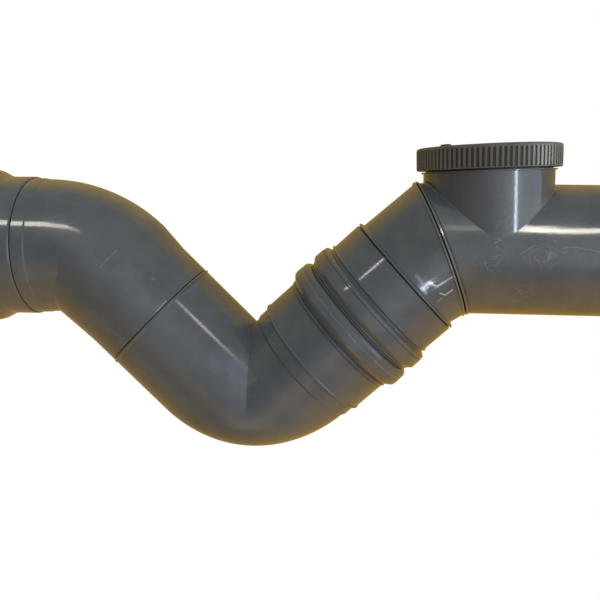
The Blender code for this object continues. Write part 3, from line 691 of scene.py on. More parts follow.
class TeeSkin:
    """One skin of the access tee: a mitred run with a leaning neck that grows out of its top."""

    def __init__(self, bm, run_radius, neck_radius, fillet, end_inset, mitre_inset):
        self.bm = bm
        self.run_radius = run_radius
        self.neck_radius = neck_radius
        self.fillet = fillet
        self.end_inset = end_inset
        self.mitre_inset = mitre_inset
        self.half = COLUMNS // 2

    def outward(self, angle):
        return NECK_SIDE * math.cos(angle) - Vector((0.0, math.sin(angle), 0.0))

    def on_run(self, x, turn, radius=None):
        radius = radius or self.run_radius
        return Vector((x, -radius * math.sin(turn), radius * math.cos(turn)))

    def mitre_x(self, turn, inset, radius):
        return inset - MITRE_FROM_NECK - radius * math.cos(turn) * math.tan(MITRE_LEAN)

    def column_x(self, column, turn):
        """X of a line across the run: columns go from the inlet's end to the mitre."""
        middle = TEE_SIDE_COLUMNS / 2
        if column <= middle:
            return (INLET_LENGTH - self.end_inset) * (1 - column / middle)
        return self.mitre_x(turn, self.mitre_inset, self.run_radius) * (column / middle - 1)

    def edge_places(self):
        """(column, turn) once round the edge of the run's upper half, from the inlet's top."""
        half = self.half
        quarter = math.pi / 2
        inlet = [(0, math.pi * i / half - quarter) for i in range(half)]
        near = [(column, quarter) for column in range(TEE_SIDE_COLUMNS)]
        mitre = [(TEE_SIDE_COLUMNS, quarter - math.pi * i / half) for i in range(half)]
        far = [(TEE_SIDE_COLUMNS - column, -quarter) for column in range(TEE_SIDE_COLUMNS)]
        return inlet[half // 2 :] + near + mitre + far + inlet[: half // 2]

    def foot(self, angle):
        """Height where the neck meets the run at this angle, and how steeply the run falls there."""
        lift = self.outward(angle).z
        depth = math.sqrt(self.run_radius**2 - (self.neck_radius * math.sin(angle)) ** 2)
        height = (depth - self.neck_radius * lift) / math.cos(NECK_LEAN)
        fall = (self.neck_radius * math.sin(angle) ** 2 / depth + lift) / math.cos(NECK_LEAN)
        return height, math.atan(fall)

    def blend(self, angle, steps):
        """Points of the fillet at the neck's foot, from its toe on the run up to the neck."""
        height, fall = self.foot(angle)
        bend = math.pi / 2 - fall
        centre = height + self.fillet * math.tan(bend / 2)
        points = []
        for k in range(steps + 1):
            swing = bend * (1 - k / steps)
            spread = self.neck_radius + self.fillet * (1 - math.cos(swing))
            points.append(self.outward(angle) * spread + NECK_UP * (centre - self.fillet * math.sin(swing)))
        turn = math.atan2(-points[0].y, points[0].z)
        points[0] = self.on_run(points[0].x, turn)
        return points, turn

    def upper_rings(self, steps, neck_outline):
        """Rings from the edge of the run's upper half, over the fillet, to the top of the neck."""
        places = self.edge_places()
        count = len(places)
        columns = []
        for i, (column, turn) in enumerate(places):
            angle = math.tau * i / count
            fillet, toe_turn = self.blend(angle, steps)
            edge_x = self.column_x(column, turn)
            line = []
            for row in range(TEE_ROWS):
                share = 1 - (1 - row / TEE_ROWS) ** TEE_CROWDING
                x = edge_x + (fillet[0].x - edge_x) * share
                line.append(self.on_run(x, turn + (toe_turn - turn) * share))
            line += fillet
            line += [self.outward(angle) * radius + NECK_UP * height for height, radius in neck_outline]
            columns.append([self.bm.verts.new(point) for point in line])
        rings = [list(ring) for ring in zip(*columns)]
        join_rings(self.bm, rings, closed=False)
        return rings

    def lower_half(self, edge):
        """Add the run's lower half under this edge ring. Returns its end rings, inlet and mitre."""
        half = self.half
        corner = half // 2
        mitre_near = corner + TEE_SIDE_COLUMNS
        mitre_top = mitre_near + corner
        mitre_far = mitre_near + half
        inlet_far = mitre_far + TEE_SIDE_COLUMNS
        lines = [edge[corner : mitre_near + 1]]
        for step in range(1, half):
            turn = math.pi / 2 + math.pi * step / half
            places = [self.on_run(self.column_x(c, turn), turn) for c in range(TEE_SIDE_COLUMNS + 1)]
            lines.append([self.bm.verts.new(place) for place in places])
        lines.append(edge[mitre_far : inlet_far + 1][::-1])
        for line, following in zip(lines, lines[1:]):
            fill_between(self.bm, line, following, closed=False)
        inlet = edge[: corner + 1] + [line[0] for line in lines[1:]] + edge[inlet_far + 1 :]
        mitre = edge[mitre_near : mitre_top + 1][::-1] + [line[-1] for line in lines[1:-1]]
        mitre += edge[mitre_top + 1 : mitre_far + 1][::-1]
        return inlet, mitre

    def end_ring(self, radius, x=None, inset=0.0):
        """A ring across the run at this x, or in the mitre plane when no x is given."""
        ring = []
        for i in range(COLUMNS):
            turn = math.tau * i / COLUMNS
            place = self.mitre_x(turn, inset, radius) if x is None else x
            ring.append(self.bm.verts.new(self.on_run(place, turn, radius)))
        return ring


def access_tee(material):
    bm = bmesh.new()
    outer = TeeSkin(bm, PIPE_RADIUS, NECK_RADIUS, NECK_FILLET, INLET_BAND, MITRE_BAND)
    inner = TeeSkin(bm, BORE_RADIUS, NECK_BORE, BORE_FILLET, 0.0, GAP / 2)
    under = COLLAR_TOP - COLLAR_THICK
    outer_neck = rounded([
        (under - 0.0080, NECK_RADIUS, 0.0),
        (under, NECK_RADIUS, 0.0002),
        (under, COLLAR_RADIUS, 0.0003),
        (COLLAR_TOP, COLLAR_RADIUS, 0.0003),
        (COLLAR_TOP, SPOUT_RADIUS, 0.0002),
        (SPOUT_TOP - 0.0012, SPOUT_RADIUS, 0.0004),
        (SPOUT_TOP, SPOUT_RADIUS - 0.0008, 0.0004),
        (SPOUT_TOP, SPOUT_RADIUS - 0.0020, 0.0),
    ], closed=False)
    inner_neck = rounded([
        (0.0500, NECK_BORE, 0.0),
        (0.0580, NECK_BORE, 0.0020),
        (0.0620, SPOUT_BORE, 0.0020),
        (SPOUT_TOP - 0.0004, SPOUT_BORE, 0.0),
        (SPOUT_TOP, SPOUT_BORE + 0.0004, 0.0),
    ], closed=False)
    outer_rings = outer.upper_rings(FILLET_STEPS, outer_neck)
    inner_rings = inner.upper_rings(INNER_FILLET_STEPS, inner_neck)
    fill_between(bm, outer_rings[-1], inner_rings[-1])
    outer_inlet, outer_mitre = outer.lower_half(outer_rings[0])
    inner_inlet, inner_mitre = inner.lower_half(inner_rings[0])
    ends = [outer.end_ring(PIPE_RADIUS + out, x=INLET_LENGTH - back) for back, out in INLET_END]
    ridge = [outer.end_ring(PIPE_RADIUS + out, inset=back) for back, out in TEE_RIDGE]
    for edge, rings, inner_edge in ((outer_inlet, ends, inner_inlet), (outer_mitre, ridge, inner_mitre)):
        join_rings(bm, [edge, *rings, inner_edge], closed=False)
    return add_piece("access_tee_skin", bm, material)


def smooth_step(value, low, high):
    share = min(1.0, max(0.0, (value - low) / (high - low)))
    return share * share * (3 - 2 * share)


def rib_radius(share, depth):
    """How far the cap's grip stands out at this share of one rib's pitch: a crest, then a groove."""
    rise = smooth_step(share, *RIB_RISE)
    fall = smooth_step(share, *RIB_FALL)
    return CAP_RADIUS - depth * (1 - rise + fall)


def cap_ring(bm, radius, height, depth=0.0):
    ring = []
    for i in range(CAP_RIBS * RIB_COLUMNS):
        angle = math.tau * i / (CAP_RIBS * RIB_COLUMNS)
        out = radius - CAP_RADIUS + rib_radius((i % RIB_COLUMNS) / RIB_COLUMNS, depth)
        ring.append(bm.verts.new((out * math.cos(angle), out * math.sin(angle), height)))
    return ring


def access_cap(material):
    bm = bmesh.new()
    inside_top = SPOUT_TOP + CAP_SEAL_THICK + 2 * GAP
    edge = CAP_RADIUS - 0.0003
    rings = [
        cap_ring(bm, SKIRT_BORE, inside_top),
        cap_ring(bm, SKIRT_BORE, CAP_BOTTOM + 0.0010),
        cap_ring(bm, SKIRT_BORE + 0.0003, CAP_BOTTOM + 0.0003),
        cap_ring(bm, SKIRT_BORE + 0.0009, CAP_BOTTOM),
        cap_ring(bm, edge - 0.0007, CAP_BOTTOM),
        cap_ring(bm, edge - 0.0002, CAP_BOTTOM + 0.0002),
        cap_ring(bm, edge, CAP_BOTTOM + 0.0007),
        cap_ring(bm, edge, FLUTE_BOTTOM - 0.0002),
        cap_ring(bm, CAP_RADIUS, FLUTE_BOTTOM + 0.0001, RIB_DEPTH * 0.85),
        cap_ring(bm, CAP_RADIUS, FLUTE_BOTTOM + 0.0005, RIB_DEPTH),
        cap_ring(bm, CAP_RADIUS, FLUTE_TOP - 0.0012, RIB_DEPTH),
        cap_ring(bm, CAP_RADIUS, FLUTE_TOP - 0.0005, RIB_DEPTH * 0.75),
        cap_ring(bm, CAP_RADIUS, FLUTE_TOP, RIB_DEPTH * 0.25),
        cap_ring(bm, CAP_RADIUS, FLUTE_TOP + 0.0003),
    ]
    foot = CAP_TOP - CAP_SHOULDER
    for k in range(SHOULDER_STEPS + 1):
        angle = math.pi / 2 * k / SHOULDER_STEPS
        radius = CAP_RADIUS - CAP_SHOULDER * (1 - math.cos(angle))
        rings.append(cap_ring(bm, radius, foot + CAP_SHOULDER * math.sin(angle)))
    join_rings(bm, rings, closed=False)
    bm.faces.new(rings[0])
    bm.faces.new(rings[-1])
    return add_piece("access_cap_skin", bm, material, NECK_AXIS, sharp=50.0)


def cap_lug(material):
    """The small raised block near the edge of the cap's top."""
    bm = bmesh.new()
    bmesh.ops.create_cube(bm, size=1.0)
    bmesh.ops.scale(bm, vec=LUG_SIZE, verts=bm.verts)
    bmesh.ops.bevel(bm, geom=bm.edges[:], offset=LUG_ROUNDING, segments=4, affect="EDGES")
    turn = Matrix.Rotation(math.atan2(LUG_PLACE[1], LUG_PLACE[0]) + math.pi / 2, 4, "Z")
    place = NECK_AXIS @ Matrix.Translation((*LUG_PLACE, CAP_TOP)) @ turn
    return add_piece("cap_lug", bm, material, place)


def screw_ridge(name, root, crest, start, turns, material):
    """One raised thread round the neck's axis, sunk a little into its wall and fading at both ends."""
    bm = bmesh.new()
    count = int(turns * COLUMNS)
    buried = root - math.copysign(GAP, crest - root)
    sections = []
    for i in range(count + 1):
        angle = math.tau * i / COLUMNS
        height = start + THREAD_PITCH * i / COLUMNS
        top = root + (crest - root) * smooth_step(min(i, count - i) / COLUMNS, 0.0, THREAD_FADE)
        profile = (
            (buried, -THREAD_ROOT_HALF), (buried, THREAD_ROOT_HALF),
            (top, THREAD_CREST_HALF), (top, -THREAD_CREST_HALF),
        )
        sections.append([
            bm.verts.new((radius * math.cos(angle), radius * math.sin(angle), height + rise))
            for radius, rise in profile])
    for section, following in zip(sections, sections[1:]):
        fill_between(bm, section, following)
    bm.faces.new(sections[0])
    bm.faces.new(sections[-1])
    return add_piece(name, bm, material, NECK_AXIS)


def add_node(tree, kind, inputs, **settings):
    """Add a shader node whose inputs take constants or other nodes' outputs."""
    node = tree.nodes.new("ShaderNode" + kind)
    for key, value in settings.items():
        setattr(node, key, value)
    for key, value in inputs.items():
        if isinstance(value, bpy.types.NodeSocket):
            tree.links.new(value, node.inputs[key])
        else:
            node.inputs[key].default_value = value
    return node


def calc(tree, operation, *values):
    return add_node(tree, "Math", dict(enumerate(values)), operation=operation).outputs[0]


def vector_calc(tree, operation, *values, output=0):
    return add_node(tree, "VectorMath", dict(enumerate(values)), operation=operation).outputs[output]


def vector_scaled(tree, vector, factor):
    return add_node(tree, "VectorMath", {0: vector, "Scale": factor}, operation="SCALE").outputs[0]


def ramp(tree, value, low, high, top=1.0, bottom=0.0):
    """A smooth step from bottom to top as the value goes from low to high."""
    inputs = {"Value": value, "From Min": low, "From Max": high, "To Min": bottom, "To Max": top}
    return add_node(tree, "MapRange", inputs, interpolation_type="SMOOTHSTEP").outputs["Result"]


def noise(tree, place, scale, detail=2.0, roughness=0.5, distortion=0.0):
    inputs = {"Vector": place, "Scale": scale, "Detail": detail, "Roughness": roughness}
    return add_node(tree, "TexNoise", {**inputs, "Distortion": distortion}).outputs[0]


def mixed(tree, mask, first, second):
    """First colour where the mask is nothing, second where it is full."""
    inputs = {0: mask}
    for key, colour in ((6, first), (7, second)):
        inputs[key] = (*colour, 1.0) if isinstance(colour, tuple) else colour
    return add_node(tree, "Mix", inputs, data_type="RGBA").outputs[2]


def start_group(name, inputs, outputs):
    """An empty node group that takes a place and these inputs, each a number or a vector by default."""
    tree = bpy.data.node_groups.new(name, "ShaderNodeTree")
    for label, default in [("Place", ORIGIN), *inputs]:
        kind = "NodeSocketVector" if isinstance(default, tuple) else "NodeSocketFloat"
        tree.interface.new_socket(label, in_out="INPUT", socket_type=kind).default_value = default
    for label in outputs:
        tree.interface.new_socket(label, in_out="OUTPUT", socket_type="NodeSocketFloat")
    given = tree.nodes.new("NodeGroupInput").outputs
    made = tree.nodes.new("NodeGroupOutput").inputs
    return tree, given, made


def place_group(tree, group, **inputs):
    node = tree.nodes.new("ShaderNodeGroup")
    node.node_tree = group
    for key, value in inputs.items():
        key = key.replace("_", " ").title()
        if isinstance(value, bpy.types.NodeSocket):
            tree.links.new(value, node.inputs[key])
        else:
            node.inputs[key].default_value = value
    return node.outputs


def dust_film_group():
    """Cloudy patches of dust, and the fine grain inside them."""
    tree, given, made = start_group("dust film", [("Patch Size", 0.04), ("Cover", 0.5)], ["Patches", "Grain"])
    scale = calc(tree, "DIVIDE", 1.0, given["Patch Size"])
    cloud = noise(tree, given["Place"], scale, 6.0, 0.62)
    edge = calc(tree, "SUBTRACT", 0.82, calc(tree, "MULTIPLY", given["Cover"], 0.5))
    patches = ramp(tree, cloud, calc(tree, "SUBTRACT", edge, 0.14), calc(tree, "ADD", edge, 0.10))
    grain = noise(tree, given["Place"], 1400.0, 3.0, 0.7)
    tree.links.new(patches, made["Patches"])
    tree.links.new(grain, made["Grain"])
    return tree


def scuff_lines_group():
    """Thin curling lines, broken up so that they start and stop."""
    tree, given, made = start_group(
        "scuff lines", [("Spacing", 0.012), ("Width", 0.03), ("Cover", 0.5)], ["Lines"])
    scale = calc(tree, "DIVIDE", 1.0, given["Spacing"])
    level = noise(tree, given["Place"], scale, 2.5, 0.5, 1.4)
    from_line = calc(tree, "ABSOLUTE", calc(tree, "SUBTRACT", level, 0.5))
    line = ramp(tree, from_line, given["Width"], 0.0)
    moved = vector_calc(tree, "ADD", given["Place"], BREAKS_SHIFT)
    breaks = noise(tree, moved, calc(tree, "MULTIPLY", scale, 0.8), 3.0, 0.6)
    edge = calc(tree, "SUBTRACT", 0.75, calc(tree, "MULTIPLY", given["Cover"], 0.4))
    kept = ramp(tree, breaks, edge, calc(tree, "ADD", edge, 0.10))
    tree.links.new(calc(tree, "MULTIPLY", line, kept), made["Lines"])
    return tree


def specks_group():
    """Small separate dots, each in its own cell."""
    tree, given, made = start_group("specks", [("Spacing", 0.01), ("Size", 0.0005), ("Share", 0.3)], ["Dots"])
    scale = calc(tree, "DIVIDE", 1.0, given["Spacing"])
    cells = add_node(tree, "TexVoronoi", {"Vector": given["Place"], "Scale": scale})
    from_middle = calc(tree, "MULTIPLY", cells.outputs["Distance"], given["Spacing"])
    dot = ramp(tree, from_middle, given["Size"], calc(tree, "MULTIPLY", given["Size"], 0.5))
    picked = calc(tree, "LESS_THAN", cells.outputs["Color"], given["Share"])
    tree.links.new(calc(tree, "MULTIPLY", dot, picked), made["Dots"])
    return tree


def soft_patch_group():
    """A soft round patch, its edge made ragged by the unevenness given."""
    tree, given, made = start_group(
        "soft patch", [("Middle", ORIGIN), ("Radius", 0.01), ("Uneven", 0.5)], ["Patch"])
    reach = vector_calc(tree, "DISTANCE", given["Place"], given["Middle"], output=1)
    share = calc(tree, "DIVIDE", reach, given["Radius"])
    share = calc(tree, "MULTIPLY_ADD", given["Uneven"], 1.6, calc(tree, "SUBTRACT", share, 0.8))
    tree.links.new(ramp(tree, share, 1.05, 0.25), made["Patch"])
    return tree


def stroke_group():
    """A straight stroke with round ends, a little uneven in width."""
    inputs = [("Start", ORIGIN), ("End", (0.0, 0.0, 0.1)), ("Width", 0.001), ("Uneven", 0.5)]
    tree, given, made = start_group("stroke", inputs, ["Stroke"])
    along = vector_calc(tree, "SUBTRACT", given["End"], given["Start"])
    offset = vector_calc(tree, "SUBTRACT", given["Place"], given["Start"])
    run = vector_calc(tree, "DOT_PRODUCT", offset, along, output=1)
    length = vector_calc(tree, "DOT_PRODUCT", along, along, output=1)
    share = add_node(tree, "Clamp", {0: calc(tree, "DIVIDE", run, length)}).outputs[0]
    foot = vector_scaled(tree, along, share)
    reach = vector_calc(tree, "DISTANCE", offset, foot, output=1)
    reach = calc(tree, "MULTIPLY_ADD", given["Uneven"], given["Width"], reach)
    outer = calc(tree, "MULTIPLY", given["Width"], 1.7)
    inner = calc(tree, "MULTIPLY", given["Width"], 0.6)
    tree.links.new(ramp(tree, reach, outer, inner), made["Stroke"])
    return tree


def ring_mark_group():
    """A thin ring, as a moulding's gate leaves."""
    tree, given, made = start_group(
        "ring mark", [("Middle", ORIGIN), ("Radius", 0.01), ("Width", 0.0005)], ["Ring"])
    reach = vector_calc(tree, "DISTANCE", given["Place"], given["Middle"], output=1)
    from_ring = calc(tree, "ABSOLUTE", calc(tree, "SUBTRACT", reach, given["Radius"]))
    ring = ramp(tree, from_ring, given["Width"], 0.0)
    worn = ramp(tree, noise(tree, given["Place"], 160.0), 0.35, 0.60)
    tree.links.new(calc(tree, "MULTIPLY", ring, worn), made["Ring"])
    return tree


def moulded_skin_group():
    """Height of the slight unevenness of a moulded plastic surface, in metres."""
    tree, given, made = start_group("moulded skin", [("Wave", 1.0)], ["Height"])
    broad = calc(tree, "MULTIPLY", noise(tree, given["Place"], 60.0, 2.0), BROAD_WAVES)
    peel = calc(tree, "MULTIPLY", noise(tree, given["Place"], 420.0, 4.0, 0.65), PEEL)
    fine = calc(tree, "MULTIPLY", noise(tree, given["Place"], 1500.0, 2.0), FINE_GRAIN)
    height = calc(tree, "ADD", calc(tree, "ADD", broad, peel), fine)
    tree.links.new(calc(tree, "MULTIPLY", height, given["Wave"]), made["Height"])
    return tree


def start_material(name):
    material = bpy.data.materials.new(name)
    material.use_nodes = True
    tree = material.node_tree
    place = tree.nodes.new("ShaderNodeTexCoord").outputs["Object"]
    return material, tree, tree.nodes["Principled BSDF"], place


def add_surface(tree, shader, colour, rough, height):
    """Give the shader its colour, its roughness and the normal that a height in metres makes."""
    bump = add_node(tree, "Bump", {"Height": height, "Distance": 1.0, "Strength": 1.0})
    for label, value in (("Base Color", colour), ("Roughness", rough), ("Normal", bump.outputs[0])):
        tree.links.new(value, shader.inputs[label])


def strongest(tree, masks):
    result = masks[0]
    for mask in masks[1:]:
        result = calc(tree, "MAXIMUM", result, mask)
    return result


def parting_line(tree, place):
    """The wavering line that the mould left round the lower socket."""
    offset = vector_calc(tree, "SUBTRACT", place, tuple(RISE_CORNER))
    along = vector_calc(tree, "DOT_PRODUCT", offset, tuple(DOWN_RISE), output=1)
    waver = calc(tree, "MULTIPLY_ADD", noise(tree, place, 90.0, 3.0, 0.6), 0.0034, -0.0017 - PARTING_PLACE)
    from_line = calc(tree, "ABSOLUTE", calc(tree, "ADD", along, waver))
    line = ramp(tree, from_line, 0.00045, 0.0001)
    return calc(tree, "MULTIPLY", line, ramp(tree, noise(tree, place, 170.0, 2.0), 0.30, 0.55))


def ridge_crown_mask(tree, place):
    """Paler beige on the crowns of the two ridges along the mitre."""
    plane_normal = (math.cos(MITRE_LEAN), 0.0, math.sin(MITRE_LEAN))
    offset = vector_calc(tree, "ADD", place, (MITRE_FROM_NECK, 0.0, 0.0))
    from_mitre = calc(tree, "ABSOLUTE", vector_calc(tree, "DOT_PRODUCT", offset, plane_normal, output=1))
    crown = ramp(tree, calc(tree, "ABSOLUTE", calc(tree, "SUBTRACT", from_mitre, 0.0014)), 0.0009, 0.0005)
    return calc(tree, "MULTIPLY", crown, ramp(tree, noise(tree, place, 90.0, 3.0), 0.25, 0.60, 1.0, 0.5))


def grey_pvc(groups):
    """Glossy dark grey pipe plastic with dust, scuffs, gate marks and rubbed places, some of these with
    painted bluish reflections and highlights.
    """
    material, tree, shader, place = start_material("grey_pvc")
    dust = place_group(tree, groups["dust film"], place=place, patch_size=0.035, cover=0.62)
    ragged = noise(tree, place, 130.0, 5.0, 0.7)
    uneven = noise(tree, place, 500.0, 3.0, 0.6)
    haze_and_reflection = strongest(tree, [
        calc(tree, "MULTIPLY", strength, place_group(
            tree, groups["soft patch"], place=place, middle=middle, radius=radius, uneven=ragged)[0])
        for middle, radius, strength in HAZES_AND_REFLECTIONS])
    scuff_and_glint_strokes = strongest(tree, [
        calc(tree, "MULTIPLY", strength, place_group(
            tree, groups["stroke"], place=place, start=start, end=end, width=width, uneven=uneven)[0])
        for width, strength, places in SCUFF_AND_GLINT_LINES for start, end in zip(places, places[1:])])
    rings = strongest(tree, [
        place_group(tree, groups["ring mark"], place=place, middle=middle, radius=radius, width=0.0006)[0]
        for middle, radius in GATE_MARKS])
    scuffs = groups["scuff lines"]
    lines = place_group(tree, scuffs, place=place, spacing=0.016, width=0.032, cover=0.62)[0]
    stray_lines = place_group(tree, scuffs, place=place, spacing=0.030, width=0.008, cover=0.42)[0]
    reach = vector_calc(tree, "DISTANCE", place, SCRIBBLE_MIDDLE, output=1)
    scribbled = ramp(tree, reach, SCRIBBLE_RADIUS, SCRIBBLE_RADIUS * 0.4)
    lines = calc(tree, "MULTIPLY", lines, scribbled)
    lines = calc(tree, "MAXIMUM", lines, calc(tree, "MULTIPLY", stray_lines, STRAY_LINES_SHOW))
    specks = groups["specks"]
    dots = place_group(tree, specks, place=place, spacing=0.017, size=0.0007, share=0.45)[0]
    moved = vector_calc(tree, "ADD", place, PALE_SPECKS_SHIFT)
    pale_dots = place_group(tree, specks, place=moved, spacing=0.015, size=0.0006, share=0.4)[0]
    parting = parting_line(tree, place)
    pale_marks = (
        (lines, SCUFFS_SHOW), (rings, RINGS_SHOW), (pale_dots, PALE_SPECKS_SHOW), (parting, PARTING_SHOWS))
    pale = strongest(tree, [calc(tree, "MULTIPLY", mask, shows) for mask, shows in pale_marks])
    film = calc(tree, "MULTIPLY", dust["Patches"], ramp(tree, dust["Grain"], 0.35, 0.65, 1.0, 0.55))
    colour = mixed(tree, calc(tree, "MULTIPLY", film, FILM_SHOWS), PVC_GREY, PVC_PALE)
    colour = mixed(tree, pale, colour, SCUFF_PALE)
    # Painted reflection in part: the hazy patches turn pale blue, some of them standing for a window's
    # reflection on the legs and elbow
    colour = mixed(tree, calc(tree, "MULTIPLY", haze_and_reflection, HAZE_AND_REFLECTION_SHOWS), colour, HAZE_AND_REFLECTION_BLUE)
    # Painted highlight in part: the rubbed lines turn bright blue-white, on the elbow as a window's glint
    colour = mixed(tree, scuff_and_glint_strokes, colour, SCUFF_AND_GLINT_BLUE)
    # The crowns of the mitre ridges turn a paler beige
    on_ridges = calc(tree, "MULTIPLY", ridge_crown_mask(tree, place), RIDGE_CROWN_BEIGE_SHOWS)
    colour = mixed(tree, on_ridges, colour, RIDGE_CROWN_BEIGE)
    colour = mixed(tree, calc(tree, "MULTIPLY", dots, DIRT_SHOWS), colour, DIRT_AND_SHADE)
    rough = calc(tree, "MULTIPLY_ADD", film, 0.05, 0.08)
    rough = calc(tree, "MULTIPLY_ADD", strongest(tree, [pale, haze_and_reflection]), 0.16, rough)
    tree.links.new(calc(tree, "MULTIPLY_ADD", film, 0.30, 0.40), shader.inputs["Coat Weight"])
    shader.inputs["Coat Roughness"].default_value = 0.40
    skin = place_group(tree, groups["moulded skin"], place=place, wave=1.0)["Height"]
    height = calc(tree, "MULTIPLY_ADD", strongest(tree, [pale, scuff_and_glint_strokes, dots]), MARK_HEIGHT, skin)
    add_surface(tree, shader, colour, rough, height)
    return material


def cap_pvc(groups):
    """Duller grey moulding with pale dust on its edges and painted shade darkening its flutes."""
    material, tree, shader, place = start_material("cap_pvc")
    dust = place_group(tree, groups["dust film"], place=place, patch_size=0.020, cover=0.70)
    dots = place_group(tree, groups["specks"], place=place, spacing=0.006, size=0.0005, share=0.5)[0]
    centre = vector_calc(tree, "SUBTRACT", place, tuple(NECK_UP * CAP_TOP))
    height = vector_calc(tree, "DOT_PRODUCT", centre, tuple(NECK_UP), output=1)
    axis_point = vector_scaled(tree, tuple(NECK_UP), height)
    out = vector_calc(tree, "DISTANCE", centre, axis_point, output=1)
    # Painted shade: the flutes on the cap's side are darkened
    in_flute = ramp(tree, out, CAP_RADIUS - RIB_DEPTH * 0.35, CAP_RADIUS - RIB_DEPTH * 0.95)
    on_side = ramp(tree, height, -0.0004, -0.0030)
    flute_shade = calc(tree, "MULTIPLY", in_flute, on_side)
    film = calc(tree, "MULTIPLY", dust["Patches"], ramp(tree, dust["Grain"], 0.35, 0.65, 1.0, 0.4))
    colour = mixed(tree, film, CAP_GREY, CAP_PALE)
    colour = mixed(tree, calc(tree, "MULTIPLY", flute_shade, 0.85), colour, DIRT_AND_SHADE)
    colour = mixed(tree, calc(tree, "MULTIPLY", dots, 0.5), colour, CAP_SPECK)
    rough = calc(tree, "MULTIPLY_ADD", film, 0.15, 0.38)
    skin = place_group(tree, groups["moulded skin"], place=place, wave=1.6)["Height"]
    add_surface(tree, shader, colour, rough, skin)
    return material


def black_rubber(groups):
    """Dull black ring rubber with a little bloom."""
    material, tree, shader, place = start_material("black_rubber")
    dust = place_group(tree, groups["dust film"], place=place, patch_size=0.012, cover=0.5)
    colour = mixed(tree, calc(tree, "MULTIPLY", dust["Patches"], 0.5), RUBBER_BLACK, RUBBER_BLOOM)
    rough = calc(tree, "MULTIPLY_ADD", dust["Grain"], 0.15, 0.55)
    skin = place_group(tree, groups["moulded skin"], place=place, wave=1.5)["Height"]
    add_surface(tree, shader, colour, rough, skin)
    return material


def add_materials():
    makers = (
        dust_film_group, scuff_lines_group, specks_group, soft_patch_group, stroke_group,
        ring_mark_group, moulded_skin_group)
    groups = {group.name: group for group in (maker() for maker in makers)}
    return grey_pvc(groups), cap_pvc(groups), black_rubber(groups)


def add_camera():
    ahead = Vector((-math.sin(CAMERA_YAW), math.cos(CAMERA_YAW), 0.0))
    level = Vector((math.cos(CAMERA_YAW), math.sin(CAMERA_YAW), 0.0))
    forward = ahead * math.cos(CAMERA_PITCH) - Vector((0.0, 0.0, math.sin(CAMERA_PITCH)))
    upright = level.cross(forward)
    right = level * math.cos(CAMERA_ROLL) + upright * math.sin(CAMERA_ROLL)
    up = right.cross(forward)
    data = bpy.data.cameras.new("camera")
    data.sensor_width = CAMERA_SENSOR
    data.lens = CAMERA_LENS
    data.clip_start = 0.01
    camera = bpy.data.objects.new("camera", data)
    bpy.context.scene.collection.objects.link(camera)
    camera.matrix_world = placed(CAMERA_PLACE, right, up, -forward)
    bpy.context.scene.camera = camera


def add_world():
    """Soft surroundings by direction, white to the camera: dark left, pale right, warm wall and floor."""
    world = bpy.data.worlds.new("room")
    bpy.context.scene.world = world
    world.use_nodes = True
    tree = world.node_tree
    way = add_node(tree, "SeparateXYZ", {0: tree.nodes.new("ShaderNodeTexCoord").outputs["Generated"]})
    across, depth, height = way.outputs
    drop = calc(tree, "MULTIPLY", height, -1.0)
    past_wall = calc(tree, "MULTIPLY_ADD", depth, WALL_EDGE, drop)
    past_floor = calc(tree, "MULTIPLY_ADD", depth, FLOOR_EDGE, drop)
    lower = mixed(tree, ramp(tree, across, -0.55, -0.15), ROOM_LEFT_LOW, ROOM_MIDDLE_LOW)
    lower = mixed(tree, ramp(tree, across, 0.02, 0.28), lower, ROOM_RIGHT_LOW)
    sides = mixed(tree, ramp(tree, across, -0.75, 0.95), ROOM_LEFT, ROOM_RIGHT)
    sides = mixed(tree, ramp(tree, height, -0.50, -0.20), lower, sides)
    above = mixed(tree, ramp(tree, height, 0.05, 0.50), sides, ROOM_CEILING)
    behind = mixed(tree, ramp(tree, height, 0.10, 0.80), ROOM_WALL_LOW, ROOM_WALL_HIGH)
    wall = mixed(tree, ramp(tree, past_wall, -0.03, 0.03), above, behind)
    floor = mixed(tree, ramp(tree, depth, -0.3, 0.9), ROOM_FLOOR, ROOM_FLOOR_BACK)
    floor = mixed(tree, ramp(tree, across, -0.50, 0.15), ROOM_FLOOR_LEFT, floor)
    whole = mixed(tree, ramp(tree, past_floor, -0.05, 0.05), wall, floor)
    background = tree.nodes["Background"]
    tree.links.new(mixed(tree, ramp(tree, height, -0.25, -0.05), whole, wall), background.inputs["Color"])
    white = add_node(tree, "Background", {"Color": WHITE})
    seen = tree.nodes.new("ShaderNodeLightPath").outputs["Is Camera Ray"]
    mix = add_node(tree, "MixShader", {0: seen, 1: background.outputs[0], 2: white.outputs[0]})
    tree.links.new(mix.outputs[0], tree.nodes["World Output"].inputs["Surface"])


def add_lamp(name, ends, width, colour, radiance):
    """A long flat lamp between two places, facing the middle of the trap."""
    start, stop = (Vector(end) for end in ends)
    middle = (start + stop) / 2
    along = (stop - start).normalized()
    away = middle - LAMP_TARGET
    away = (away - along * away.dot(along)).normalized()
    data = bpy.data.lights.new(name, "AREA")
    data.shape = "RECTANGLE"
    data.size = (stop - start).length
    data.size_y = width
    data.color = colour
    data.energy = radiance * math.pi * data.size * data.size_y
    lamp = bpy.data.objects.new(name, data)
    bpy.context.scene.collection.objects.link(lamp)
    lamp.matrix_world = placed(middle, along, away.cross(along), away)
    return lamp


def add_lamps(skins):
    """Lamps that each lay a streak on their own pieces and give no general light."""
    for name, ends, width, colour, radiance, lit in LAMPS:
        lamp = add_lamp(name, ends, width, colour, radiance)
        receivers = bpy.data.collections.new(name + "_receivers")
        for node in lit:
            receivers.objects.link(skins[node])
        lamp.light_linking.receiver_collection = receivers
        lamp.visible_diffuse = False


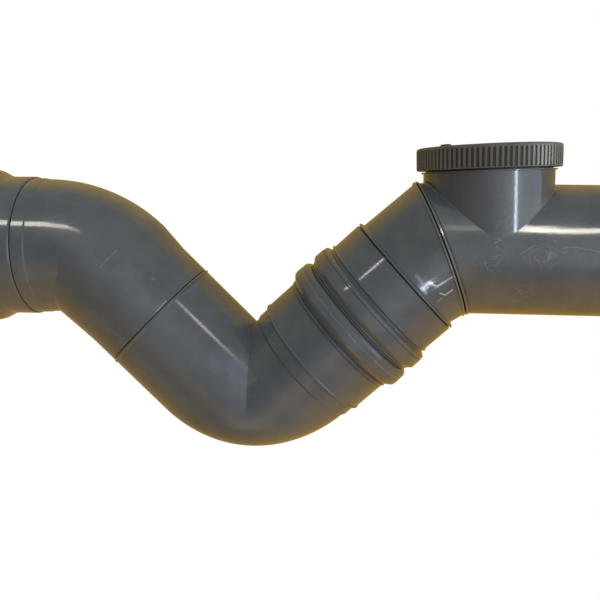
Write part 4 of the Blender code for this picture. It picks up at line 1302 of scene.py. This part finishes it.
def add_floor():
    """A pale floor well below the hanging pipe. It is white to the camera and keeps a soft shadow."""
    bm = bmesh.new()
    bmesh.ops.create_grid(bm, x_segments=1, y_segments=1, size=FLOOR_SIZE)
    mesh = bpy.data.meshes.new("floor")
    bm.to_mesh(mesh)
    bm.free()
    floor = bpy.data.objects.new("floor", mesh)
    floor.location = (LAMP_TARGET.x, 0.0, FLOOR_HEIGHT)
    bpy.context.scene.collection.objects.link(floor)
    material, tree, shader, place = start_material("pale_floor")
    shader.inputs["Base Color"].default_value = FLOOR_PALE
    shader.inputs["Roughness"].default_value = 0.7
    glow = add_node(tree, "Emission", {"Color": WHITE, "Strength": 1.0})
    out = vector_calc(tree, "LENGTH", place, output=1)
    share = ramp(tree, out, 0.10, 0.55, 1.0, 0.75)
    path = tree.nodes.new("ShaderNodeLightPath")
    seen = calc(tree, "MULTIPLY", share, path.outputs["Is Camera Ray"])
    mix = add_node(tree, "MixShader", {0: seen, 1: shader.outputs[0], 2: glow.outputs[0]})
    tree.links.new(mix.outputs[0], tree.nodes["Material Output"].inputs["Surface"])
    mesh.materials.append(material)
    floor.visible_glossy = False
    floor.visible_diffuse = False


def main():
    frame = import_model()
    pvc, cap_plastic, rubber = add_materials()
    makers = {
        "outlet_socket": outlet_socket, "outlet_bend": outlet_bend, "trap_bend": trap_bend,
        "lower_socket": lower_socket, "middle_nipple": middle_nipple, "upper_socket": upper_socket,
        "upper_elbow": upper_elbow, "access_tee": access_tee,
    }
    skins = {}
    for node, maker in makers.items():
        piece = maker(pvc)
        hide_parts(node)
        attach(piece, "pipe")
        skins[node] = piece
    spout_thread = screw_ridge("spout_thread", SPOUT_RADIUS, SPOUT_CREST, THREAD_START, SPOUT_TURNS, pvc)
    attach(spout_thread, "pipe")
    cap = access_cap(cap_plastic)
    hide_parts("access_cap")
    skins["access_cap"] = cap
    lug = cap_lug(cap_plastic)
    cap_start = THREAD_START + THREAD_PITCH / 2
    cap_thread = screw_ridge("cap_thread", SKIRT_BORE, CAP_CREST, cap_start, CAP_TURNS, cap_plastic)
    for piece in (cap, lug, cap_thread):
        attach(piece, "cap")
    for node in ("outlet_seal", "lower_seal", "upper_seal", "cap_seal"):
        for slot in frame["nodes"][node].material_slots:
            slot.material = rubber
    add_camera()
    add_world()
    add_lamps(skins)
    add_floor()
    scene = bpy.context.scene
    scene.view_settings.view_transform = "Standard"


main()
